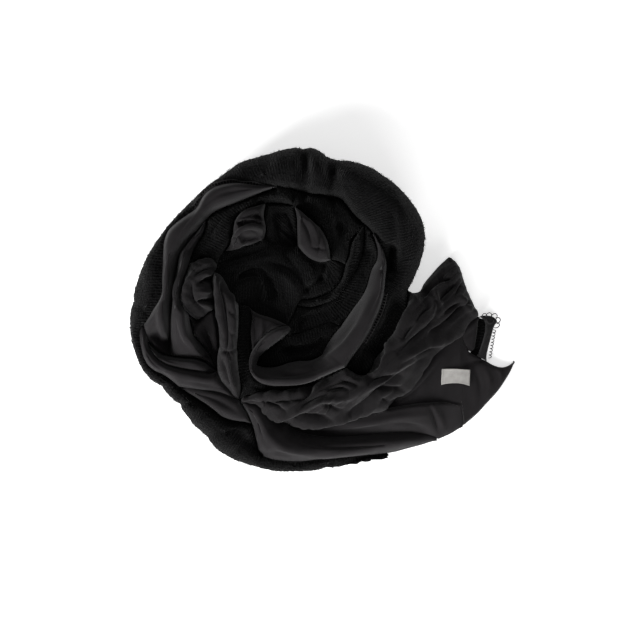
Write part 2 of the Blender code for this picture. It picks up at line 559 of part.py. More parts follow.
            (198, 341, 218, 323, 51, 54, 54),
            (201, 344, 219.5, 335, 50, 52, 52),
            (208, 353, 218.7, 350, 48, 50, 50),
            (217, 371, 217, 371, 44, 44, 44)]),
    "boucle_inner_turn": (
        "boucle", ["rim_right_turn"],
        ["left_turn_right_turn", "bright_petal_turn", "right_turn_pleat", "right_turn_fold"],
        (6, 5), [
            (290, 189.5, 290, 189.5, 54, 54, 54),
            (300, 191.5, 294, 206, 56, 55, 51),
            (315, 194.5, 311, 220.5, 54, 57, 51),
            (330, 197, 326.5, 238, 53, 57, 50),
            (340, 199, 331, 259, 52, 56, 49),
            (348, 208, 345, 264, 51, 55, 48),
            (353, 214, 349.5, 246, 51, 54, 50),
            (359, 220, 353, 238, 51, 53, 51),
            (364, 224.5, 364, 224.5, 50, 50, 50)]),
    "boucle_inner_fold": (
        "boucle", ["fold_low_turn"], ["-right_turn_fold", "fold_pleat", "centre_fold"],
        (4, 4), [
            (364, 224.5, 364, 224.5, 52, 52, 52),
            (364, 238, 352, 240, 52, 56, 52),
            (362, 254, 347, 260, 50, 55, 50),
            (355, 273, 343.5, 273, 46, 52, 48),
            (346, 288, 338, 285, 44, 50, 46),
            (330, 301.5, 325, 294.5, 42, 46, 44),
            (313, 307, 308, 299.5, 42, 45, 42),
            (297, 306, 297, 306, 40, 40, 40)]),
    "boucle_low_turn": (
        "boucle",
        ["rim_low_turn", "-crescent_low_turn", "-low_turn_fold", "-crescent_tip"],
        ["fold_low_turn", "centre_low_turn"], (4, 4), [
            (364, 224.5, 364, 224.5, 51, 51, 51),
            (375, 241, 364, 238, 54, 52, 48),
            (376.5, 261, 360.5, 261, 50, 48, 44),
            (368, 284, 350, 282, 46, 44, 42),
            (356, 305, 338, 297, 42, 42, 40),
            (343, 323, 326, 303, 40, 41, 40),
            (320, 326, 313, 307, 39, 41, 41),
            (304, 332, 298, 306, 40, 42, 42),
            (290.5, 331, 294, 316, 44, 44, 43),
            (288, 325, 288, 325, 48, 48, 48)]),
    "boucle_low_fold": (
        "boucle", ["-hook_low_fold", "low_turn_fold"],
        ["crescent_low_fold", "crescent_right_fold"], (4, 4), [
            (257, 365, 257, 365, 38, 38, 38),
            (266, 350.5, 268, 367, 42, 44, 40),
            (282, 339, 288, 363, 42, 46, 40),
            (297, 334, 303, 361, 42, 46, 40),
            (314, 328, 319, 357, 42, 45, 38),
            (327, 324, 328, 343, 40, 42, 38),
            (340, 327, 340, 327, 38, 38, 38)]),
}

STEPS_ROLL = 2
STEPS_BODY = {"boucle_outer_turn": 3, "crepe_crescent": 3, "crepe_end_panel": 4,
              "boucle_centre": 5, "smocked_end": 7, "smocked_turn": 4, "smocked_bun": 4}
STEPS_BODY_PLAIN = 2
SPACING = {"smocked_end": 9.0, "smocked_turn": 10.0, "smocked_bun": 9.0}
SPACING_SMALL = 11.0
SMALL_LENGTH = 90.0
FOOTED = "boucle_outer_turn"

# The label: its middle on the end panel, its size, its lean and its clearance.
LABEL_MIDDLE = (457.0, 378.0)
LABEL_SIZE = (29.0, 16.0)
LABEL_TURN = math.radians(2)
LABEL_LIFT = 0.5
LABEL_WALL = 1.0
LABEL_STEPS = (6, 3)


def plan_rows(rows):
    return np.array(rows, float)


def slopes_at(places, along):
    """The slope at each place of a curve through all of them, from its two neighbours."""
    spans = np.diff(along)[:, None]
    slopes = np.diff(places, axis=0) / spans
    tangents = np.empty_like(places)
    tangents[1:-1] = (slopes[:-1] * spans[1:] + slopes[1:] * spans[:-1]) / (spans[1:] + spans[:-1])
    tangents[0] = 1.5 * slopes[0] - 0.5 * tangents[1]
    tangents[-1] = 1.5 * slopes[-1] - 0.5 * tangents[-2]
    return tangents


def smooth_at(along, values, wanted):
    """Values of a smooth curve through (along, values) at the wanted distances."""
    if len(along) == 2:
        share = ((wanted - along[0]) / (along[1] - along[0]))[:, None]
        return values[0] + (values[1] - values[0]) * share
    tangents = slopes_at(values, along)
    index = np.clip(np.searchsorted(along, wanted, side="right") - 1, 0, len(along) - 2)
    span = (along[index + 1] - along[index])[:, None]
    t = (wanted - along[index])[:, None] / span
    return (
        values[index] * (2 * t**3 - 3 * t**2 + 1)
        + tangents[index] * span * (t**3 - 2 * t**2 + t)
        + values[index + 1] * (3 * t**2 - 2 * t**3)
        + tangents[index + 1] * span * (t**3 - t**2)
    )


def lengths_along(places):
    steps = np.linalg.norm(np.diff(places[:, :2], axis=0), axis=1)
    return np.concatenate([[0.0], np.cumsum(steps)])


def heap_height(places):
    """The hidden heap's height under plan places, a smooth blend of its height table."""
    table = plan_rows(HEAP_HEIGHTS)
    away = np.linalg.norm(places[:, None, :2] - table[None, :, :2], axis=2)
    weights = 1.0 / (away**2 + 150.0) ** 1.5
    return (weights * table[:, 2]).sum(axis=1) / weights.sum(axis=1)


def crease_line(name):
    """A crease as closely spaced rows of x, y and height."""
    start, end, places = CREASES[name.lstrip("-")]
    places = plan_rows(places)
    along = lengths_along(places)
    count = max(2, int(round(along[-1] / CURVE_STEP)))
    wanted = np.linspace(0, along[-1], count + 1)
    line = smooth_at(along, places, wanted)
    if name.lstrip("-") == "coil_outline":
        heights = heap_height(line) + BELLY_RISE
    else:
        heights = start + (end - start) * wanted / along[-1]
    line = np.column_stack([line, heights])
    return line[::-1] if name.startswith("-") else line


def side_line(names):
    """Creases end to end as one line."""
    parts = [crease_line(names[0])]
    for name in names[1:]:
        parts.append(crease_line(name)[1:])
    return np.concatenate(parts)


def turned_left(line):
    """Unit plan directions across a line, a quarter turn from its own direction."""
    ahead = np.gradient(line[:, :2], axis=0)
    ahead /= np.linalg.norm(ahead, axis=1)[:, None]
    return np.column_stack([-ahead[:, 1], ahead[:, 0]])


def inside_turn(left, right):
    """1 where a quarter turn from the left side points into the stretch, otherwise -1."""
    loop = np.concatenate([left[:, :2], right[::-1, :2]])
    following = np.roll(loop, -1, axis=0)
    area = (loop[:, 0] * following[:, 1] - following[:, 0] * loop[:, 1]).sum()
    return 1.0 if area > 0 else -1.0


def nearest_rows(line, places):
    """For each place in turn, how far along the line its nearest row is, never going back."""
    along = lengths_along(line)
    found = []
    first = 0
    for place in places:
        away = np.linalg.norm(line[first:, :2] - place, axis=1)
        first += int(np.argmin(away))
        found.append(along[first])
    return np.array(found)


class Ribbon:
    """A stretch of cloth between two side lines, read at any number of sections."""

    def __init__(self, name):
        cloth, left, right, self.rolls, rows = STRETCHES[name]
        self.name = name
        self.cloth = cloth
        self.left = side_line(left)
        self.right = side_line(right)
        rows = plan_rows(rows)
        left_stops = nearest_rows(self.left, rows[:, 0:2])
        right_stops = nearest_rows(self.right, rows[:, 2:4])
        left_stops[0] = right_stops[0] = 0.0
        left_stops[-1] = lengths_along(self.left)[-1]
        right_stops[-1] = lengths_along(self.right)[-1]
        self.stops = np.concatenate(
            [[0.0], np.cumsum(np.maximum(np.diff(left_stops), np.diff(right_stops)))])
        self.left_stops = left_stops
        self.right_stops = right_stops
        self.heights = rows[:, 4:7]
        turn = inside_turn(self.left, self.right)
        self.left_in = turned_left(self.left) * turn
        self.right_in = turned_left(self.right) * -turn

    def sides(self, along):
        """Both sides at these distances, each moved in by half a seam's gap."""
        found = []
        for line, into, stops in (
            (self.left, self.left_in, self.left_stops),
            (self.right, self.right_in, self.right_stops),
        ):
            lengths = lengths_along(line)
            moved = line.copy()
            moved[:, :2] += into * SEAM_GAP / 2
            wanted = np.interp(along, self.stops, stops)
            found.append(np.column_stack(
                [np.interp(wanted, lengths, moved[:, axis]) for axis in range(3)]))
        return found

    def ends(self):
        """Where the ribbon starts and ends: its tips are cut where they get too narrow."""
        gap = END_GAPS.get(self.name, END_GAP)
        along = np.linspace(gap, self.stops[-1] - gap, 400)
        left, right = self.sides(along)
        across = right[:, :2] - left[:, :2]
        wanted = np.interp(along, self.stops, self.left_stops)
        lengths = lengths_along(self.left)
        into = np.column_stack(
            [np.interp(wanted, lengths, self.left_in[:, axis]) for axis in range(2)])
        wide = (np.linalg.norm(across, axis=1) > NARROWEST) & ((across * into).sum(axis=1) > 0)
        inside = np.flatnonzero(wide)
        return along[inside[0]], along[inside[-1]]

    def sections(self, spacing):
        """Distances of the sections: one at every row of the table and evenly between them."""
        start, end = self.ends()
        inside = self.stops[(self.stops > start + 1) & (self.stops < end - 1)]
        marks = np.concatenate([[start], inside, [end]])
        found = [marks[:1]]
        for here, there in zip(marks[:-1], marks[1:]):
            count = max(1, int(round((there - here) / spacing)))
            found.append(np.linspace(here, there, count + 1)[1:])
        return np.concatenate(found)


def relief(x, y):
    """How far the troughs and ridges move the cloth at plan places."""
    moved = np.zeros_like(x)
    for x0, y0, x1, y1, half_width, height in RELIEF:
        run = np.array([x1 - x0, y1 - y0], float)
        length = np.linalg.norm(run)
        share = np.clip(((x - x0) * run[0] + (y - y0) * run[1]) / length**2, 0, 1)
        away = np.hypot(x - x0 - share * run[0], y - y0 - share * run[1])
        moved += height * np.exp(-((away / half_width) ** 2))
    return moved


def puckers(x, y):
    """The smocking's rise, 0 to 1: rows of long cells, each row set half a cell along."""
    along = x * math.cos(PUCKER_LEAN) + y * math.sin(PUCKER_LEAN)
    across = -x * math.sin(PUCKER_LEAN) + y * math.cos(PUCKER_LEAN)
    wander = 0.35 * np.sin(along / 31.0) + 0.3 * np.sin(across / 17.0 + along / 53.0)
    u = math.pi * along / PUCKER_LENGTH + wander
    v = math.pi * across / PUCKER_WIDTH - wander
    return np.abs(np.sin(u + v) * np.sin(u - v)) ** 0.7


def section_shape(width, rolls, steps_body):
    """Across one section: distance from the left side, and how far up from the creases."""
    room = 0.86 * width
    scale = min(1.0, room / (rolls[0] + rolls[1]))
    left_roll = rolls[0] * scale
    right_roll = rolls[1] * scale
    turns = np.linspace(0, math.pi / 2, STEPS_ROLL + 1)
    left = left_roll * (1 - np.cos(turns))
    right = width - right_roll * (1 - np.cos(turns))
    body = np.linspace(left_roll, width - right_roll, steps_body + 1)[1:-1]
    away = np.concatenate([left, body, right[::-1]])
    rise = np.concatenate([np.sin(turns), np.ones(len(body)), np.sin(turns)[::-1]])
    return away / width, rise


def cloth_surface(ribbon, spacing, steps_body):
    """The ribbon's outer surface as a grid of points, with its two sides and widths."""
    along = ribbon.sections(spacing)
    left, right = ribbon.sides(along)
    heights = smooth_at(ribbon.stops, ribbon.heights, along)
    widths = np.linalg.norm(right[:, :2] - left[:, :2], axis=1)
    rows = []
    for start, end, width, (low, middle, high) in zip(left, right, widths, heights):
        share, rise = section_shape(width, ribbon.rolls, steps_body)
        x = start[0] + (end[0] - start[0]) * share
        y = start[1] + (end[1] - start[1]) * share
        base = start[2] + (end[2] - start[2]) * share
        bulge = 4 * share * (1 - share)
        body = low * (1 - share) + high * share + bulge * (middle - (low + high) / 2)
        body = np.maximum(body + relief(x, y), base + 0.5)
        rows.append(np.column_stack([x, y, base + (body - base) * rise]))
    return np.array(rows), left, right, widths


def foot_rows(left, right, widths):
    """The outer turn's underside, from its foot on the hidden heap up to its widest line."""
    into = (right[:, :2] - left[:, :2]) / widths[:, None]
    foot = heap_height(left) + FOOT_CLEARANCE
    drop = left[:, 2] - foot
    inset = np.minimum(FOOT_INSET, 0.45 * widths)
    rows = []
    for step in range(FOOT_STEPS):
        turn = FOOT_TURN * (1 - step / FOOT_STEPS)
        row = left.copy()
        row[:, :2] += into * (inset * (1 - math.cos(turn)))[:, None]
        row[:, 2] -= drop * math.sin(turn)
        rows.append(row)
    return np.stack(rows, axis=1)


def inner_rows(grid):
    """The wall's inner points: each section drawn in at its sides and let down by one wall."""
    inner = np.empty_like(grid)
    for row, outer in enumerate(grid):
        across = outer[-1, :2] - outer[0, :2]
        width = np.linalg.norm(across)
        shares = (outer[:, :2] - outer[0, :2]) @ across / width**2
        side = min(WALL / width, MOST_WIDTH_SHARE)
        drawn_in = side + shares * (1 - 2 * side)
        over = np.interp(drawn_in, shares, outer[:, 2])
        base = outer[0, 2] + (outer[-1, 2] - outer[0, 2]) * drawn_in
        inner[row, :, :2] = outer[0, :2] + drawn_in[:, None] * across
        inner[row, :, 2] = over - WALL
        for rim in (0, -1):
            inner[row, rim, 2] = min(base[rim], over[rim] - WALL * RIM_SHARE)
    return inner


def inner_foot(left, right, widths):
    """The inner points of the outer turn's underside, nested in its outer ones."""
    into = (right[:, :2] - left[:, :2]) / widths[:, None]
    drop = left[:, 2] - heap_height(left) - FOOT_CLEARANCE
    side = np.minimum(WALL, MOST_WIDTH_SHARE * widths)
    inset = np.minimum(FOOT_INSET, 0.45 * widths) - side
    rows = []
    for step in range(FOOT_STEPS):
        turn = FOOT_TURN * (1 - step / FOOT_STEPS)
        row = left.copy()
        row[:, :2] += into * (side + inset * (1 - math.cos(turn)))[:, None]
        row[:, 2] -= (drop - WALL) * math.sin(turn)
        rows.append(row)
    return np.stack(rows, axis=1)


def to_metres(points):
    """Plan places and heights in millimetres as the object's own metres."""
    return np.column_stack([
        (points[:, 0] - PLAN_MIDDLE_X) * MILLIMETRE,
        (PLAN_MIDDLE_Y - points[:, 1]) * MILLIMETRE,
        points[:, 2] * MILLIMETRE])


def cloth_material(cloth):
    material = bpy.data.materials.new(cloth)
    material.use_nodes = True
    colour, roughness = CLOTHS[cloth]
    shader = material.node_tree.nodes["Principled BSDF"]
    shader.inputs["Base Color"].default_value = (*colour, 1)
    shader.inputs["Roughness"].default_value = roughness
    shader.inputs["Metallic"].default_value = 0.0
    material.diffuse_color = (*colour, 1)
    return material


def mesh_object(name, points, faces, cloth, collection):
    """A closed mesh object, its faces turned outwards."""
    mesh = bpy.data.meshes.new(name)
    shape = bmesh.new()
    corners = [shape.verts.new(point) for point in to_metres(points)]
    for face in faces:
        shape.faces.new([corners[index] for index in face])
    bmesh.ops.recalc_face_normals(shape, faces=shape.faces)
    shape.to_mesh(mesh)
    shape.free()
    mesh.shade_smooth()
    mesh.materials.append(cloth_material(cloth))
    piece = bpy.data.objects.new(name, mesh)
    collection.objects.link(piece)
    return piece


def wall_faces(rows, columns):
    """Quads of a wall: its outer grid, its inner grid and the rim that joins them."""
    outer = np.arange(rows * columns).reshape(rows, columns)
    inner = outer + rows * columns
    faces = []
    for i in range(rows - 1):
        for j in range(columns - 1):
            faces.append((outer[i, j], outer[i, j + 1], outer[i + 1, j + 1], outer[i + 1, j]))
            faces.append((inner[i, j], inner[i + 1, j], inner[i + 1, j + 1], inner[i, j + 1]))
    edge = np.concatenate([outer[0, :-1], outer[:-1, -1], outer[-1, :0:-1], outer[:0:-1, 0]])
    under = edge + rows * columns
    for here, there in zip(range(len(edge)), np.roll(range(len(edge)), -1)):
        faces.append((edge[here], edge[there], under[there], under[here]))
    return faces


def cloth_wall(name, collection):
    ribbon = Ribbon(name)
    length = ribbon.stops[-1]
    spacing = SPACING.get(name, SPACING_SMALL if length < SMALL_LENGTH else STATION_SPACING)
    steps_body = STEPS_BODY.get(name, STEPS_BODY_PLAIN)
    grid, left, right, widths = cloth_surface(ribbon, spacing, steps_body)
    inner = inner_rows(grid)
    if name == FOOTED:
        grid = np.concatenate([foot_rows(left, right, widths), grid], axis=1)
        inner = np.concatenate([inner_foot(left, right, widths), inner], axis=1)
    if ribbon.cloth == "smocked crepe":
        inside = np.zeros(grid.shape[:2])
        inside[1:-1, 2:-2] = 1.0
        grid[..., 2] += PUCKER_RISE * puckers(grid[..., 0], grid[..., 1]) * inside
    rows, columns = grid.shape[:2]
    points = np.concatenate([grid.reshape(-1, 3), inner.reshape(-1, 3)])
    return mesh_object(name, points, wall_faces(rows, columns), ribbon.cloth, collection)


def heap(collection):
    """The hidden layers: one rounded solid on a flat underside, with layered edges."""
    outline = plan_rows(HEAP_OUTLINE + HEAP_OUTLINE[:1])
    along = lengths_along(outline)
    line = smooth_at(along, outline, np.linspace(0, along[-1], HEAP_STATIONS + 1))[:-1]
    ahead = np.roll(line, -1, axis=0) - np.roll(line, 1, axis=0)
    ahead /= np.linalg.norm(ahead, axis=1)[:, None]
    into = np.column_stack([-ahead[:, 1], ahead[:, 0]])
    middle = np.array(HEAP_MIDDLE, float)
    far_left = int(np.argmin(line[:, 0]))
    if into[far_left] @ (middle - line[far_left]) < 0:
        into = -into
    full = heap_height(line)
    rings = []
    for inset, share in HEAP_EDGE:
        rings.append(np.column_stack([line + into * inset, full * share]))
    for scale in HEAP_TOP_SCALES:
        places = middle + (line + into * HEAP_EDGE[-1][0] - middle) * scale
        rings.append(np.column_stack([places, heap_height(places)]))
    points = np.concatenate(rings)
    count = len(line)
    faces = []
    for ring in range(len(rings) - 1):
        for i in range(count):
            j = (i + 1) % count
            low = ring * count
            high = low + count
            faces.append((low + i, low + j, high + j, high + i))
    faces.append(tuple(range(count)))
    top = (len(rings) - 1) * count
    peak = len(points)
    points = np.vstack([points, [*middle, heap_height(middle[None, :])[0]]])
    for i in range(count):
        faces.append((top + i, top + (i + 1) % count, peak))
    return mesh_object("hidden_layers", points, faces, "hidden layers", collection)


def label(panel, collection):
    """The woven label, made from the end panel's own surface and lifted clear of it."""
    grid, _, _, _ = cloth_surface(Ribbon(panel), 2.0, 24)
    surface = grid.reshape(-1, 3)
    along, across = LABEL_STEPS
    x = np.linspace(-0.5, 0.5, along + 1) * LABEL_SIZE[0]
    y = np.linspace(-0.5, 0.5, across + 1) * LABEL_SIZE[1]
    grid_y, grid_x = np.meshgrid(y, x)
    places = np.column_stack([
        LABEL_MIDDLE[0] + (grid_x * math.cos(LABEL_TURN) - grid_y * math.sin(LABEL_TURN)).ravel(),
        LABEL_MIDDLE[1] + (grid_x * math.sin(LABEL_TURN) + grid_y * math.cos(LABEL_TURN)).ravel()])
    away = np.linalg.norm(places[:, None] - surface[None, :, :2], axis=2)
    under = np.array([surface[row < 4.0, 2].max() for row in away])
    low = np.column_stack([places, under + LABEL_LIFT])
    high = low + (0, 0, LABEL_WALL)
    points = np.concatenate([high, low])
    return mesh_object("label", points, wall_faces(along + 1, across + 1), "woven label",
                       collection)


def main():
    for leftover in list(bpy.data.objects):
        bpy.data.objects.remove(leftover, do_unlink=True)
    collection = bpy.data.collections.new("Scarf")
    bpy.context.scene.collection.children.link(collection)
    heap(collection)
    for name in STRETCHES:
        cloth_wall(name, collection)
    label("crepe_end_panel", collection)


main()
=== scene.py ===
# %% [markdown]
# # A black scarf, wound into a nest
#
# The real thing is one long scarf, sewn from a nubby boucle knit, a smooth crepe and a panel of
# the same crepe that is smocked into puckers. It was wound by hand into a loose nest and laid
# down with its labelled end out to one side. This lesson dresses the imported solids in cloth.
# Each stretch of the scarf that shows is its own thin sheet, made over the form of its solid.

# %% Load the fixed frame
import math
import random

import bmesh
import bpy
import numpy as np
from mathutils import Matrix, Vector
from mathutils.bvhtree import BVHTree


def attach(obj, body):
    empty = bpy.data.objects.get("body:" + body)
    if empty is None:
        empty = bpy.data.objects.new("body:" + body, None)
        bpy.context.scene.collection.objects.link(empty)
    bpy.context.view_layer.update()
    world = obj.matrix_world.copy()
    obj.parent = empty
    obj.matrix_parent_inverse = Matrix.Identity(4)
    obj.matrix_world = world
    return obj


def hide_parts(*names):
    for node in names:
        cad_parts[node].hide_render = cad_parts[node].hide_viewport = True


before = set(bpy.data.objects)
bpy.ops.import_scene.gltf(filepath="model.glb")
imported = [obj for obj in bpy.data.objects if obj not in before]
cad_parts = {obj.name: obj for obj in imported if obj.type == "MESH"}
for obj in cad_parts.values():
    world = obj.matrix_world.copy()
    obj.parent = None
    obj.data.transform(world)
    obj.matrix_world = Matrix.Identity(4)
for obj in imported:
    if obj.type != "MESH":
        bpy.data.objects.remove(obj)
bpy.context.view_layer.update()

print("nodes:", len(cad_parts))

# %% [markdown]
# ## The plan of the nest
#
# Seen from above, the nest divides into stretches along its creases, the lines where one turn
# of cloth goes under the next. All places are in millimetres on the square of table that the
# nest lies on: x from its left edge, y from its far edge. Two neighbours share a crease, so
# they meet along one line. The same creases shape the solids.

# %% Units and the middle of the plan
MILLIMETRE = 0.001
PLAN_MIDDLE_X = 323.5
PLAN_MIDDLE_Y = 309.5
SEAM_GAP = 0.4
END_GAP = 0.5
END_GAPS = {
    "boucle_right_turn": (2.0, 0.0), "boucle_outer_turn": (0.0, 0.5),
    "crepe_end_fold": (3.0, 0.2), "loop_trim": (0.1, 0.1)}
NARROWEST = 0.9
TIP_TESTS = 400
CURVE_STEP = 1.5
BELLY_RISE = 12.0


def to_metres(points):
    """Plan places and heights in millimetres as the object's own metres."""
    points = np.asarray(points, float)
    return np.stack([
        (points[..., 0] - PLAN_MIDDLE_X) * MILLIMETRE,
        (PLAN_MIDDLE_Y - points[..., 1]) * MILLIMETRE,
        points[..., 2] * MILLIMETRE], axis=-1)


